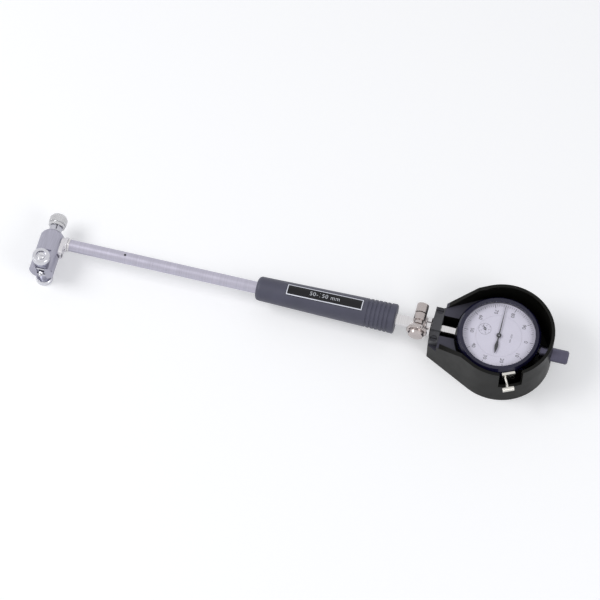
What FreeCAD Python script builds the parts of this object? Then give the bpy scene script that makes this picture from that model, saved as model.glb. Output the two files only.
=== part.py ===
import FreeCAD, Part
import math
import os

V = FreeCAD.Vector

# Dial bore gauge, 50 to 150 mm, lying flat with its dial facing up. Millimetres.
# While it is modelled, X runs along the tube from the measuring axis (x = 0) to the dial,
# Y is the measuring axis with the moving contact at -Y, and z = 0 is the tube's axis.
# At the end everything is moved so that the origin is the bottom centre of the whole gauge.

# ---------------------------------------------------------------- fits
RUN = 0.03           # radial clearance of a running fit
PLAY = 0.05          # gap left where two moving pieces push on each other
GAP = 0.3            # clearance between pieces that pass each other
OVER = 1.0           # how far a cutting tool runs past the face it cuts
EDGE = 0.4           # small broken edge
SLOT_HALF = 0.3      # screwdriver slots
SLOT_DEPTH = 0.5

# ---------------------------------------------------------------- measuring head
HEAD_R = 8.7
HEAD_FLAT_Z = 6.8    # half thickness across the front and rear flats
HEAD_END_Y = -26.0   # contact end of the head
SHOULDER_Y = 3.0
SHOULDER_TOP_Y = 7.0
SHOULDER_TOP_R = 5.2
HEAD_EDGE = 0.5
SHOULDER_KNEE_L = 1.9
SHOULDER_KNEE_D = 0.9
SHOULDER_LIP_L = 0.7
SHOULDER_LIP_D = 1.2
SEAT_X = 7.4         # milled seat for the tube flange
SEAT_PAST = 0.5      # the seat runs this far past the flange

CRANK_ARM = 5.0      # pivot to either tip; the pivot stands this far from both axes
CRANK_TIP_R = 1.0
CRANK_HUB_R = 2.0
CRANK_ARM_HALF = 0.7
CRANK_HALF_Z = 1.5
CRANK_PIN_R = 1.0
CRANK_PIN_COVER = 2.0    # metal left over the pin's front end
POCKET_HALF_Z = 2.6
POCKET_WALL = 2.2    # pocket's room beyond the crank's tips

PLUNGER_R = 1.75
PLUNGER_STOP_R = 2.4
PLUNGER_STOP_T = 1.1
PLUNGER_STOP_PLAY = 0.1
NOSE_R = 0.7         # narrow end that meets the crank
NOSE_L = 1.0
CONTACT_BALL_R = 1.3
CONTACT_NECK_L = 0.4
CONTACT_TAPER_L = 1.2
CONTACT_TIP_Y = -29.0
CONTACT_TRAVEL = 1.6

# ---------------------------------------------------------------- centring guide and rollers
GUIDE_TRAVEL = 5.5
SLOT_W = 6.0         # slot across the head for the guide's bridge
GROOVE_W = 7.0       # grooves in the front and rear faces for the guide's legs
GROOVE_D = 1.6
BRIDGE_T = 3.0
BRIDGE_Y = -24.6     # contact end of the bridge
LEG_TOP_Y = -16.2
ROLLER_R = 6.1
ROLLER_Y = -21.3
ROLLER_T = 4.4
ROLLER_FACE_Z = 17.0
ROLLER_RECESS_R = 3.7
ROLLER_RECESS_D = 1.3
ROLLER_BORE_R = 1.53
ROLLER_EDGE = 0.6
ROLLER_PLAY = 0.1    # between a roller and its boss
ROLLER_HEAD_R = 2.6
ROLLER_HEAD_LOW = 0.15   # screw head below the roller's face
ROLLER_HEAD_EDGE = 0.3
ROLLER_SLOT_HALF = 0.35
ROLLER_THREAD_R = 1.0
BOSS_R = 3.2
STOP_PIN_R = 0.5
STOP_PIN_INSET = 0.6
GUIDE_SPRING_R = 0.85
GUIDE_SPRING_WIRE = 0.3
GUIDE_SPRING_Z = 3.9
GUIDE_SPRING_TURNS = 7
GUIDE_SPRING_WELL_Y = -9.6

# ---------------------------------------------------------------- anvil end
SOCKET_R = 2.5       # bore that takes an exchangeable anvil
SOCKET_FLOOR_T = 2.2
COLLET_SHANK_R = 3.2
COLLET_SHANK_Y = 3.4
COLLET_NECK_R = 4.5
COLLET_NECK_GAP = 0.5    # neck's end to the nut
COLLET_TAPER_L = 0.3
COLLET_R = 4.0
COLLET_SLOT_FROM = 1.2
COLLET_SLOT_ANGLE = 14.0
NUT_Y = 11.6
NUT_TOP_Y = 20.4
NUT_R = 6.4
NUT_MOUTH_R = 3.1
NUT_LIP = 1.4
NUT_EDGE = 0.5
NUT_BAND_L = 1.5     # plain band next to the head
NUT_GROOVE_L = 1.0
NUT_SLOPE = 0.2
NUT_GROOVE_D = 0.4
NUT_SHOULDER_L = 0.6
NUT_SHOULDER_D = 0.7
NUT_RIBS = 24
NUT_RIB_D = 0.45
SLOTS = 3
SLOT_CUT = 0.8

# ---------------------------------------------------------------- flange, tube and push rod
FLANGE_T = 2.8
FLANGE_R = 4.5
FLANGE_LOW_Y = -7.0
COLLAR_R = 5.4
COLLAR_T = 1.8
FLANGE_SCREW_R = 0.8
FLANGE_SCREW_HEAD_R = 1.4
FLANGE_SCREW_HEAD_T = 1.0
FLANGE_SCREW_L = 3.5
FLANGE_SCREW_PROUD = 0.1
FLANGE_HOLE_L = 4.0
FLANGE_SCREW_OFF = 2.4   # from the middle of the flange's low end
FLANGE_RELIEF_T = 0.8
LOCK_RING_EDGE = 0.3
LOCK_RING_R = 4.8
LOCK_RING_T = 1.6
SPIGOT_R = 3.5
SPIGOT_X = 8.8
TUBE_R = 4.25
TUBE_BORE = 2.6
ROD_R = 1.5
ROD_TIP_L = 2.0
ROD_SPRING_L = 12.0
ROD_SPRING_WIRE = 0.35
ROD_SPRING_OFF = 0.4
ROD_SPRING_TURNS = 6
ROD_COLLAR_L = 2.0
TUBE_PIN_X = 54.0
TUBE_PIN_R = 0.8
TUBE_PIN_PROUD = 0.15
BUSH_L = 6.0

# ---------------------------------------------------------------- grip
GRIP_X = 149.5
GRIP_L = 99.5
GRIP_R_HEAD = 8.5
GRIP_R_DIAL = 10.5
GRIP_ROUND = 3.0
GRIP_BEVEL = 0.8
GROOVES = 6
GROOVE_PITCH = 3.0
GROOVE_WIDTH = 1.2
GROOVE_DEPTH = 0.45
GROOVE_SLOPE = 0.3
GROOVE_FROM_END = 20.5
LABEL_X = 171.0
LABEL_L = 54.5
LABEL_W = 8.6
LABEL_T = 0.25
LABEL_PROUD = 0.1

# ---------------------------------------------------------------- stem clamp
TUBE_IN_GRIP = 4.0   # tube's end inside the grip's end
PLUG_R = 3.4
PLUG_L = 7.0
NECK_L = 12.0
BARREL_L = 9.8
BARREL_R = 5.2
RIM_R = 6.8
RIM_T = 3.7
STEM_R = 4.0
SPLIT_W = 0.9
SPLIT_FROM = 1.5     # neck's end to the start of the splits
SOCKET_STEP = 0.8
RIM_EDGE = 0.5
STEM_INSERTED = 1.0  # neck's end to the stem's end
RING_R = 6.6
RING_L = 8.6
EAR_R = 4.2
EAR_WEB_IN = 0.6
EAR_GAP = 0.8
EAR_BLIND = 1.5
EAR_Z = 11.0
EAR_SPLIT_Y = 2.4
EAR_FRONT_Y = -3.2
EAR_BACK_Y = 9.5
CLAMP_SCREW_R = 1.6
CLAMP_NECK_R = 3.2
CLAMP_NECK_L = 2.8
CLAMP_HEAD_R = 7.2
CLAMP_HEAD_L = 6.0
CLAMP_FLARE_L = 2.0
CLAMP_FLARE_D = 1.6
CLAMP_EDGE = 0.5
CLAMP_SHANK_SHORT = 2.0
CLAMP_DOME_GROOVE_D = 0.6
CLAMP_CONE_L = 4.4
CLAMP_DOME_R = 5.6
CLAMP_DOME_L = 4.0
CLAMP_DOME_NECK_L = 0.8
CLAMP_DOME_FACE_R = 1.6
CLAMP_RIBS = 30
CLAMP_RIB_D = 0.4

# ---------------------------------------------------------------- dial guard
GUARD_BASE = 46.7    # dial centre to the guard's flat end
GUARD_SHIFT = 2.6    # the guard's ring is centred past the dial
GUARD_ROOM = 4.4     # bezel to the inside of the guard, on average
GUARD_WALL = 2.2
GUARD_FLOOR_T = 2.5
GUARD_TOP_Z = 20.0
GUARD_BASE_HALF = 14.2
GUARD_SIDE_T = 0.4   # wall left beside the webs at the flat end
GUARD_SLOPE = 0.62   # the side walls slope down from this share of the radius
WEB_Z = 6.0          # top of the webs beside the stem
WEB_SLOT_W = 16.0
BLOCK_T = 6.6
BLOCK_RAISE = 1.2
BLOCK_RAISE_W = 10.0
GUARD_SCREW_Y = 11.0
GUARD_SCREW_R = 1.5
GUARD_SCREW_HEAD_R = 2.3
GUARD_SCREW_THREAD_R = 1.2
GUARD_SCREW_SEAT = 1.6
GUARD_SCREW_L = 8.5  # thread below the tube's axis
GUARD_HOLE_L = 9.0
GUARD_HEAD_PLAY = 0.2
GUARD_SLOT_DEPTH = 0.6
BLOCK_PLAY = 0.1
BLOCK_IN = 0.6       # block narrower than the guard's flat end
CAP_HOLE_R = 6.2
CLAMP_ANGLE = -65.0  # bezel clamp, from 12 o'clock towards 3 o'clock
NOTCH_ANGLE = 26.0
NOTCH_Z = 3.0

# ---------------------------------------------------------------- dial indicator
CASE_R = 27.0
CASE_WALL = 2.2
CASE_BACK_Z = -8.2
CASE_FRONT_Z = 7.6
COVER_T = 1.6
COVER_EDGE = 0.6
COVER_SCREW_IN = 4.5
COVER_SCREW_R = 1.5
COVER_HEAD_PLAY = 0.1
COVER_SLOT_HALF = 0.25
STEM_BOSS_R = 5.4
STEM_BOSS_L = 3.0
TOP_BUSH_R = 2.9
TOP_BUSH_L = 6.0
CAP_R = 4.8
CAP_OFF = 2.5        # case to the cap
CAP_L = 20.0
CAP_WALL = 1.6
SPINDLE_R = 2.0
SPINDLE_ROOM = 6.5   # spindle's upper end to the cap's end
SPINDLE_OUT = 4.0    # spindle's lower end out of the stem
SPINDLE_TIP_NECK = 0.8
CAP_EDGE = 1.0
TOP_BUSH_PLAY = 0.2
SPINDLE_TIP_L = 4.0
SPINDLE_TIP_R = 1.5
BEZEL_WALL = 1.8     # bezel outside the case
BEZEL_BACK_Z = 6.2
BEZEL_FRONT_Z = 13.6
BEZEL_STEP = 1.4     # bezel's inner face inside the case's outer face
BEZEL_LIP = 0.6
BEZEL_LIP_T = 0.6
BEZEL_BEVEL = 1.4
BEZEL_PLAY = 0.2     # bezel to the case's front edge
CRYSTAL_SEAT = 0.8
CRYSTAL_T = 1.0
FACE_Z = 8.8
FACE_T = 0.6
FACE_SPLIT_R = 15.9
FACE_PLAY = 0.1
NEEDLE_SHORT = 1.4   # needle's end to the bezel's lip
NEEDLE_HALF = 0.45
NEEDLE_TIP_HALF = 0.12
TAIL_L = 13.8
TAIL_HALF = 1.25
TAIL_ROOT_HALF = 0.4
TAIL_SLIM_HALF = 0.9
TAIL_TIP_HALF = 0.15
TAIL_NECK_L = 4.0
TAIL_WIDE_L = 8.0
TAIL_SLIM_L = 10.5
HUB_PROUD = 0.2
NEEDLE_HUB_R = 1.7
NEEDLE_Z = 10.3
NEEDLE_T = 0.3
HAND_Z = 9.75
HAND_T = 0.2
HAND_L = 3.2
HAND_TAIL_L = 1.4
HAND_HALF = 0.25
HAND_HUB_R = 0.9
HAND_ANGLE = 35.0

# ---------------------------------------------------------------- movement
MODULE = 0.2
RACK_TEETH = 16      # pinion on the rack: 16 teeth to 10 mm of rack
RACK_PITCH_R = 5.0 / math.pi
RACK_LINE = 1.6      # rack's pitch line beside the spindle's axis
RACK_ADDENDUM = 0.5  # of the module
RACK_DEDENDUM = 1.1
RACK_ROOT_HALF = 0.14    # gap between two rack teeth at its bottom and its mouth
RACK_MOUTH_HALF = 0.24
WHEEL_TEETH = 100
PINION_TEETH = 10
WHEEL_TIP = 0.1      # tip and root circles from the pitch circle
WHEEL_ROOT = -0.22
PINION_TIP = 0.16
PINION_ROOT = -0.2
RACK_PINION_TIP = 0.12
WHEEL_Z = 4.3
WHEEL_T = 0.5
PINION_T = 1.4
ARBOR_R = 0.5
LOWER_PLATE_Z = 2.5
UPPER_PLATE_Z = 6.0
PLATE_T = 0.8
PILLAR_OFF = 9.5
PILLAR_R = 1.2
PILLAR_PIN_R = 0.72
BAR_PAST = 3.0       # upper plate's bar past the outer arbors
BAR_HALF = 2.6
CROSS_HALF = 2.2
RACK_PINION_HALF = 1.3
ARBOR_FOOT = 0.1     # arbor's end past or short of its neighbour
PINION_BELOW = 0.4   # pinion's low face below the wheels'
RACK_LOW = 4.0       # rack's reach each way from the pinion at rest
RACK_HIGH = 3.0
WHEEL_WINDOWS = 5
WHEEL_WINDOW_R = 2.4
WHEEL_WINDOW_OFF = 6.0
GUIDE_PIN_OFF = 7.0  # from the dial centre
GUIDE_PIN_R = 0.6
GUIDE_PIN_L = 6.0
GUIDE_PIN_SEAT = 1.2
FORK_HALF = 2.5
FORK_T = 1.5
FORK_LOW_Z = -2.2
RETURN_SPRING_R = 1.2
RETURN_SPRING_WIRE = 0.35
RETURN_SPRING_L = 16.0
RETURN_SPRING_TURNS = 8
RETURN_SPRING_OFF = 5.0
SPRING_POST_R = 0.8
SPRING_POST_LOW_Z = -2.0
HAIRSPRING_TURNS = 3
HAIRSPRING_R = 4.4
HAIRSPRING_T = 0.18
HAIRSPRING_PLAY = 0.1

# ---------------------------------------------------------------- bezel clamp
BRACKET_GAP = 0.4    # clear of the bezel
BRACKET_T = 1.8
BRACKET_IN = 0.2     # foot reaches into the case's round side
BRACKET_HALF = 4.5
BRACKET_LOW_Z = 0.5
BRACKET_SHORT = 2.0  # bracket's top below the bezel's face
BEZEL_SCREW_R = 1.0
BEZEL_SCREW_OFF = -2.5
BEZEL_SCREW_Z = 8.5
BEZEL_BAR_R = 1.6
BEZEL_BAR_HALF = 4.0
BEZEL_BAR_OUT = 5.0  # cross bar past the guard's radius

# ---------------------------------------------------------------- places worked out from the sizes
PIVOT = (CRANK_ARM, -CRANK_ARM)
CRANK_REACH = CRANK_TIP_R + PLAY
FLANGE_END_X = SEAT_X + FLANGE_T
COLLAR_END_X = FLANGE_END_X + COLLAR_T
TUBE_X = COLLAR_END_X + LOCK_RING_T
GRIP_END_X = GRIP_X + GRIP_L
TUBE_END_X = GRIP_END_X - TUBE_IN_GRIP
NECK_END_X = GRIP_END_X + NECK_L
RIM_X = NECK_END_X + BARREL_L
CLAMP_END_X = RIM_X + RIM_T
EAR_X = NECK_END_X + BARREL_L / 2
DIAL_X = CLAMP_END_X + GAP + GUARD_BASE
GUARD_BACK_Z = -ROLLER_FACE_Z
BEZEL_R = CASE_R + BEZEL_WALL
BEZEL_INNER_R = CASE_R - BEZEL_STEP
BEZEL_LIP_R = BEZEL_INNER_R - BEZEL_LIP
CRYSTAL_R = BEZEL_INNER_R + CRYSTAL_SEAT
NEEDLE_L = BEZEL_LIP_R - NEEDLE_SHORT
GUARD_R = BEZEL_R + GUARD_ROOM + GUARD_WALL
COVER_SCREW_PCR = CASE_R - COVER_SCREW_IN
CAP_START = CASE_R + CAP_OFF
CAP_END = CAP_START + CAP_L
SPINDLE_UP = CAP_END - SPINDLE_ROOM
BLOCK_X = DIAL_X - GUARD_BASE
ARBOR_OFF = MODULE * (WHEEL_TEETH + PINION_TEETH) / 2
ARBOR_Y = RACK_LINE + RACK_PITCH_R
ARBOR_DX = math.sqrt(ARBOR_OFF ** 2 - ARBOR_Y ** 2)
STEM_END_X = NECK_END_X + STEM_INSERTED
SPINDLE_LOW_X = STEM_END_X - SPINDLE_OUT
ROD_END_X = SPINDLE_LOW_X - SPINDLE_TIP_L
ROD_BUSH_END_L = 4.0
SPRING_BUSH_X = TUBE_END_X - PLUG_L - ROD_BUSH_END_L
ROD_COLLAR_X = SPRING_BUSH_X - ROD_SPRING_L - ROD_COLLAR_L


# ---------------------------------------------------------------- building blocks
def point(axis, along, across, up=0.0):
    if axis == "x":
        return V(along, across, up)
    if axis == "y":
        return V(across, along, up)
    return V(across, up, along)


AXES = {"x": V(1, 0, 0), "y": V(0, 1, 0), "z": V(0, 0, 1)}


def rod(axis, radius, start, end, across=0.0, up=0.0):
    return Part.makeCylinder(radius, end - start, point(axis, start, across, up), AXES[axis])


def ring(axis, outer, inner, start, end, across=0.0, up=0.0):
    return rod(axis, outer, start, end, across, up).cut(rod(axis, inner, start, end, across, up))


def box(x0, x1, y0, y1, z0, z1):
    return Part.makeBox(x1 - x0, y1 - y0, z1 - z0, V(x0, y0, z0))


def turned(axis, profile, across=0.0, up=0.0):
    """Revolve a profile of (place along the axis, radius) points about the axis."""
    if axis == "z":
        corners = [V(across + r, up, a) for a, r in profile]
        centre = V(across, up, 0)
    elif axis == "x":
        corners = [V(a, across + r, up) for a, r in profile]
        centre = V(0, across, up)
    else:
        corners = [V(across + r, a, up) for a, r in profile]
        centre = V(across, 0, up)
    wire = Part.makePolygon(corners + corners[:1])
    return Part.Face(wire).revolve(centre, AXES[axis], 360)


def plate(points, z0, z1):
    corners = [V(x, y, z0) for x, y in points]
    return Part.Face(Part.makePolygon(corners + corners[:1])).extrude(V(0, 0, z1 - z0))


def stadium(ax, ay, bx, by, radius, z0, z1):
    """A bar with round ends, centred on the line from (ax, ay) to (bx, by)."""
    length = math.hypot(bx - ax, by - ay)
    nx = -(by - ay) / length * radius
    ny = (bx - ax) / length * radius
    body = plate([(ax + nx, ay + ny), (bx + nx, by + ny), (bx - nx, by - ny), (ax - nx, ay - ny)], z0, z1)
    return fused(body, rod("z", radius, z0, z1, ax, ay), rod("z", radius, z0, z1, bx, by))


def fused(first, *rest):
    return first.fuse(list(rest)).removeSplitter()


def cut(body, *tools):
    return body.cut(list(tools)).removeSplitter()


def turn_about(shape, x, y, degrees):
    copy = shape.copy()
    copy.rotate(V(x, y, 0), V(0, 0, 1), degrees)
    return copy


def circle_points(count, radius, phase=0.0):
    steps = [2 * math.pi * i / count + phase for i in range(count)]
    return [(radius * math.cos(a), radius * math.sin(a)) for a in steps]


def ribbed(axis, count, radius, depth, start, end, across=0.0, up=0.0):
    """A prism whose outline is a ring of pointed ribs, to intersect with a turned knob."""
    outer = circle_points(count, radius)
    inner = circle_points(count, radius - depth, math.pi / count)
    outline = [p for pair in zip(outer, inner) for p in pair]
    corners = [point(axis, start, across + a, up + b) for a, b in outline]
    return Part.Face(Part.makePolygon(corners + corners[:1])).extrude(AXES[axis] * (end - start))


def gear(teeth, pitch_r, tip, root, z0, z1, x, y, phase):
    """A spur gear with straight-sided teeth; phase is the angle of one tooth's middle."""
    outline = []
    half = math.pi / teeth
    for i in range(teeth):
        middle = phase + 2 * half * i
        for share, radius in ((-0.62, root), (-0.26, tip), (0.26, tip), (0.62, root)):
            angle = middle + share * half
            r = pitch_r + radius
            outline.append((x + r * math.cos(angle), y + r * math.sin(angle)))
    return plate(outline, z0, z1)


def coil(radius, wire, length, turns, centre, axis):
    """A square-wire coil spring of the given length along an axis."""
    pitch = (length - wire) / turns
    helix = Part.makeHelix(pitch, length - wire, radius)
    half = wire / 2
    corners = [V(radius + a * half, 0, b * half) for a, b in ((-1, -1), (1, -1), (1, 1), (-1, 1))]
    section = Part.makePolygon(corners + corners[:1])
    solid = Part.Wire(helix).makePipeShell([section], True, True)
    solid.translate(V(0, 0, half))
    solid.Placement = FreeCAD.Placement(centre, FreeCAD.Rotation(V(0, 0, 1), AXES[axis])) * solid.Placement
    return solid


# ---------------------------------------------------------------- measuring head
def slot_top_y():
    return BRIDGE_Y + BRIDGE_T + GUIDE_TRAVEL + GAP


def head_body():
    blank = turned("y", [(HEAD_END_Y, 0), (HEAD_END_Y, HEAD_R - HEAD_EDGE), (HEAD_END_Y + HEAD_EDGE, HEAD_R),
                         (SHOULDER_Y, HEAD_R), (SHOULDER_Y + SHOULDER_KNEE_L, HEAD_R - SHOULDER_KNEE_D),
                         (SHOULDER_TOP_Y - SHOULDER_LIP_L, SHOULDER_TOP_R + SHOULDER_LIP_D),
                         (SHOULDER_TOP_Y, SHOULDER_TOP_R), (SHOULDER_TOP_Y, 0)])
    flats = box(-HEAD_R, SEAT_X, HEAD_END_Y - OVER, SHOULDER_TOP_Y + OVER, -HEAD_FLAT_Z, HEAD_FLAT_Z)
    seat_low = FLANGE_LOW_Y - FLANGE_R - SEAT_PAST
    lower = box(-HEAD_R, HEAD_R, HEAD_END_Y - OVER, seat_low, -HEAD_FLAT_Z, HEAD_FLAT_Z)
    body = blank.common(fused(flats, lower))
    return cut(body, crank_pocket(), *guide_cuts(), *head_holes())


def crank_pocket():
    left = -PLUNGER_STOP_R - 2 * GAP
    floor = plunger_stop_y() - PLUNGER_STOP_T - PLUNGER_STOP_PLAY
    return box(left, HEAD_R + OVER, floor, POCKET_WALL, -POCKET_HALF_Z, POCKET_HALF_Z)


def guide_cuts():
    """The cross slot, the two face grooves and the two spring wells of the centring guide."""
    cross = box(-SLOT_W / 2, SLOT_W / 2, HEAD_END_Y - OVER, slot_top_y(), -HEAD_R, HEAD_R)
    groove_top = LEG_TOP_Y + GUIDE_TRAVEL + GAP
    floor = HEAD_FLAT_Z - GROOVE_D
    grooves = [box(-GROOVE_W / 2, GROOVE_W / 2, HEAD_END_Y - OVER, groove_top, *sorted((s * floor, s * HEAD_R)))
               for s in (1, -1)]
    wells = [rod("y", GUIDE_SPRING_R + GUIDE_SPRING_WIRE / 2 + RUN, HEAD_END_Y, GUIDE_SPRING_WELL_Y, 0,
                 s * GUIDE_SPRING_Z) for s in (1, -1)]
    return [cross] + grooves + wells


def head_holes():
    plunger = rod("y", PLUNGER_R + RUN, HEAD_END_Y, 0)
    collet = rod("y", COLLET_SHANK_R, COLLET_SHANK_Y, SHOULDER_TOP_Y + OVER)
    pin = rod("z", CRANK_PIN_R, -HEAD_FLAT_Z - OVER, HEAD_FLAT_Z - CRANK_PIN_COVER, *PIVOT)
    screw = rod("x", FLANGE_SCREW_R, SEAT_X - FLANGE_HOLE_L, HEAD_R, flange_screw_y())
    stops = [rod("x", STOP_PIN_R, -HEAD_R, HEAD_R, stop_pin_y(), s * GUIDE_SPRING_Z) for s in (1, -1)]
    return [plunger, collet, pin, screw] + stops


def stop_pin_y():
    return BRIDGE_Y - STOP_PIN_R - PLAY


def flange_screw_y():
    return FLANGE_LOW_Y - FLANGE_SCREW_OFF


def plunger_top_y():
    return -CRANK_ARM - CRANK_REACH


def plunger_stop_y():
    return plunger_top_y() - NOSE_L


def contact_plunger():
    top = plunger_top_y()
    stop = plunger_stop_y()
    low = CONTACT_TIP_Y + CONTACT_BALL_R + CONTACT_NECK_L
    return turned("y", [(top, 0), (top, NOSE_R), (stop, NOSE_R), (stop, PLUNGER_STOP_R),
                        (stop - PLUNGER_STOP_T, PLUNGER_STOP_R), (stop - PLUNGER_STOP_T, PLUNGER_R),
                        (low + CONTACT_TAPER_L, PLUNGER_R), (low, CONTACT_BALL_R), (low, 0)])


def contact_ball():
    centre = CONTACT_TIP_Y + CONTACT_BALL_R
    top = centre + CONTACT_NECK_L
    reach = 2 * CONTACT_BALL_R
    ball = Part.makeSphere(CONTACT_BALL_R, V(0, centre, 0))
    shank = rod("y", CONTACT_BALL_R, centre, top)
    return fused(ball, shank).common(box(-reach, reach, centre - reach, top, -reach, reach))


def bell_crank():
    hub = rod("z", CRANK_HUB_R, -CRANK_HALF_Z, CRANK_HALF_Z, *PIVOT)
    pieces = [hub]
    for x, y in ((0, -CRANK_ARM), (CRANK_ARM, 0)):
        pieces.append(stadium(PIVOT[0], PIVOT[1], x, y, CRANK_ARM_HALF, -CRANK_HALF_Z, CRANK_HALF_Z))
        pieces.append(rod("z", CRANK_TIP_R, -CRANK_HALF_Z, CRANK_HALF_Z, x, y))
    return cut(fused(*pieces), rod("z", CRANK_PIN_R + RUN, -CRANK_HALF_Z - OVER, CRANK_HALF_Z + OVER, *PIVOT))


def crank_pin():
    return rod("z", CRANK_PIN_R, -HEAD_FLAT_Z + GAP, HEAD_FLAT_Z - CRANK_PIN_COVER, *PIVOT)


# ---------------------------------------------------------------- centring guide
def guide_carriage():
    """A bridge across the head with a leg and a roller boss on each face."""
    floor = HEAD_FLAT_Z - GROOVE_D + PLAY
    top = BRIDGE_Y + BRIDGE_T
    bridge = box(-SLOT_W / 2 + PLAY, SLOT_W / 2 - PLAY, BRIDGE_Y, top, -floor, floor)
    pieces = [bridge]
    for s in (1, -1):
        half = GROOVE_W / 2 - PLAY
        pieces.append(box(-half, half, BRIDGE_Y, LEG_TOP_Y, *sorted((s * floor, s * HEAD_FLAT_Z))))
        boss_end = ROLLER_FACE_Z - ROLLER_T - ROLLER_PLAY
        pieces.append(rod("z", BOSS_R, *sorted((s * floor, s * boss_end)), 0, ROLLER_Y))
    body = fused(*pieces)
    hole = rod("y", PLUNGER_R + GAP, BRIDGE_Y - OVER, top + OVER)
    threads = [rod("z", ROLLER_THREAD_R, *sorted((s * (floor - SLOT_DEPTH), s * ROLLER_FACE_Z)), 0, ROLLER_Y)
               for s in (1, -1)]
    return cut(body, hole, *threads)


def guide_springs():
    start = BRIDGE_Y + BRIDGE_T
    length = GUIDE_SPRING_WELL_Y - start
    coils = [coil(GUIDE_SPRING_R, GUIDE_SPRING_WIRE, length, GUIDE_SPRING_TURNS,
                  V(0, start, s * GUIDE_SPRING_Z), "y") for s in (1, -1)]
    return Part.makeCompound(coils)


def guide_stop_pins():
    end = math.sqrt(HEAD_R ** 2 - GUIDE_SPRING_Z ** 2) - STOP_PIN_INSET
    pins = [rod("x", STOP_PIN_R, -end, end, stop_pin_y(), s * GUIDE_SPRING_Z) for s in (1, -1)]
    return Part.makeCompound(pins)


def roller(side):
    inner = ROLLER_FACE_Z - ROLLER_T
    outer = ROLLER_FACE_Z
    floor = outer - ROLLER_RECESS_D
    wheel = turned("z", [(inner, ROLLER_BORE_R), (inner, ROLLER_R - ROLLER_EDGE), (inner + ROLLER_EDGE, ROLLER_R),
                         (outer - ROLLER_EDGE, ROLLER_R), (outer, ROLLER_R - ROLLER_EDGE),
                         (outer, ROLLER_RECESS_R), (floor, ROLLER_RECESS_R - GAP), (floor, ROLLER_BORE_R)],
                   0, ROLLER_Y)
    return mirrored(wheel, side)


def roller_screw(side):
    shoulder = ROLLER_FACE_Z - ROLLER_T - ROLLER_PLAY
    under = ROLLER_FACE_Z - ROLLER_RECESS_D + PLAY
    top = ROLLER_FACE_Z - ROLLER_HEAD_LOW
    screw = turned("z", [(HEAD_FLAT_Z, 0), (HEAD_FLAT_Z, ROLLER_THREAD_R), (shoulder, ROLLER_THREAD_R),
                         (shoulder, ROLLER_BORE_R - RUN), (under, ROLLER_BORE_R - RUN), (under, ROLLER_HEAD_R),
                         (top - ROLLER_HEAD_EDGE, ROLLER_HEAD_R),
                         (top, ROLLER_HEAD_R - ROLLER_HEAD_EDGE), (top, 0)], 0, ROLLER_Y)
    reach = ROLLER_HEAD_R + OVER
    slot = box(-reach, reach, ROLLER_Y - ROLLER_SLOT_HALF, ROLLER_Y + ROLLER_SLOT_HALF, top - SLOT_DEPTH,
               top + OVER)
    return mirrored(cut(screw, slot), side)


def mirrored(shape, side):
    return shape if side > 0 else shape.mirror(V(0, 0, 0), V(0, 0, 1))


# ---------------------------------------------------------------- anvil end
def anvil_collet():
    top = NUT_TOP_Y - NUT_LIP - GAP
    neck_end = NUT_Y - COLLET_NECK_GAP
    body = turned("y", [(COLLET_SHANK_Y, 0), (COLLET_SHANK_Y, COLLET_SHANK_R),
                        (SHOULDER_TOP_Y, COLLET_SHANK_R), (SHOULDER_TOP_Y, COLLET_NECK_R),
                        (neck_end, COLLET_NECK_R), (neck_end + COLLET_TAPER_L, COLLET_R), (top, COLLET_R),
                        (top, 0)])
    socket = rod("y", SOCKET_R, COLLET_SHANK_Y + SOCKET_FLOOR_T, top + OVER)
    slot_start = SHOULDER_TOP_Y + COLLET_SLOT_FROM
    slot = box(-SLOT_CUT / 2, SLOT_CUT / 2, slot_start, top + OVER, 0, COLLET_NECK_R + OVER)
    slots = []
    for i in range(SLOTS):
        tool = slot.copy()
        tool.rotate(V(0, 0, 0), V(0, 1, 0), COLLET_SLOT_ANGLE + 360 / SLOTS * i)
        slots.append(tool)
    return cut(body, socket, *slots)


def anvil_nut():
    mouth = NUT_TOP_Y - NUT_LIP
    bore = COLLET_R + RUN
    band = NUT_R - NUT_EDGE
    groove = NUT_Y + NUT_BAND_L
    ribs = groove + NUT_GROOVE_L
    shell = turned("y", [(NUT_Y, bore), (NUT_Y, band - NUT_EDGE), (NUT_Y + NUT_EDGE, band), (groove, band),
                         (groove + NUT_SLOPE, band - NUT_GROOVE_D), (ribs - NUT_SLOPE, band - NUT_GROOVE_D),
                         (ribs, NUT_R), (mouth - NUT_SHOULDER_L, NUT_R),
                         (mouth + NUT_SLOPE, NUT_R - NUT_SHOULDER_D),
                         (NUT_TOP_Y, NUT_R - 2 * NUT_SHOULDER_D), (NUT_TOP_Y, NUT_MOUTH_R), (mouth, NUT_MOUTH_R),
                         (mouth, bore)])
    return shell.common(ribbed("y", NUT_RIBS, NUT_R, NUT_RIB_D, NUT_Y - OVER, NUT_TOP_Y + OVER))


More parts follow.
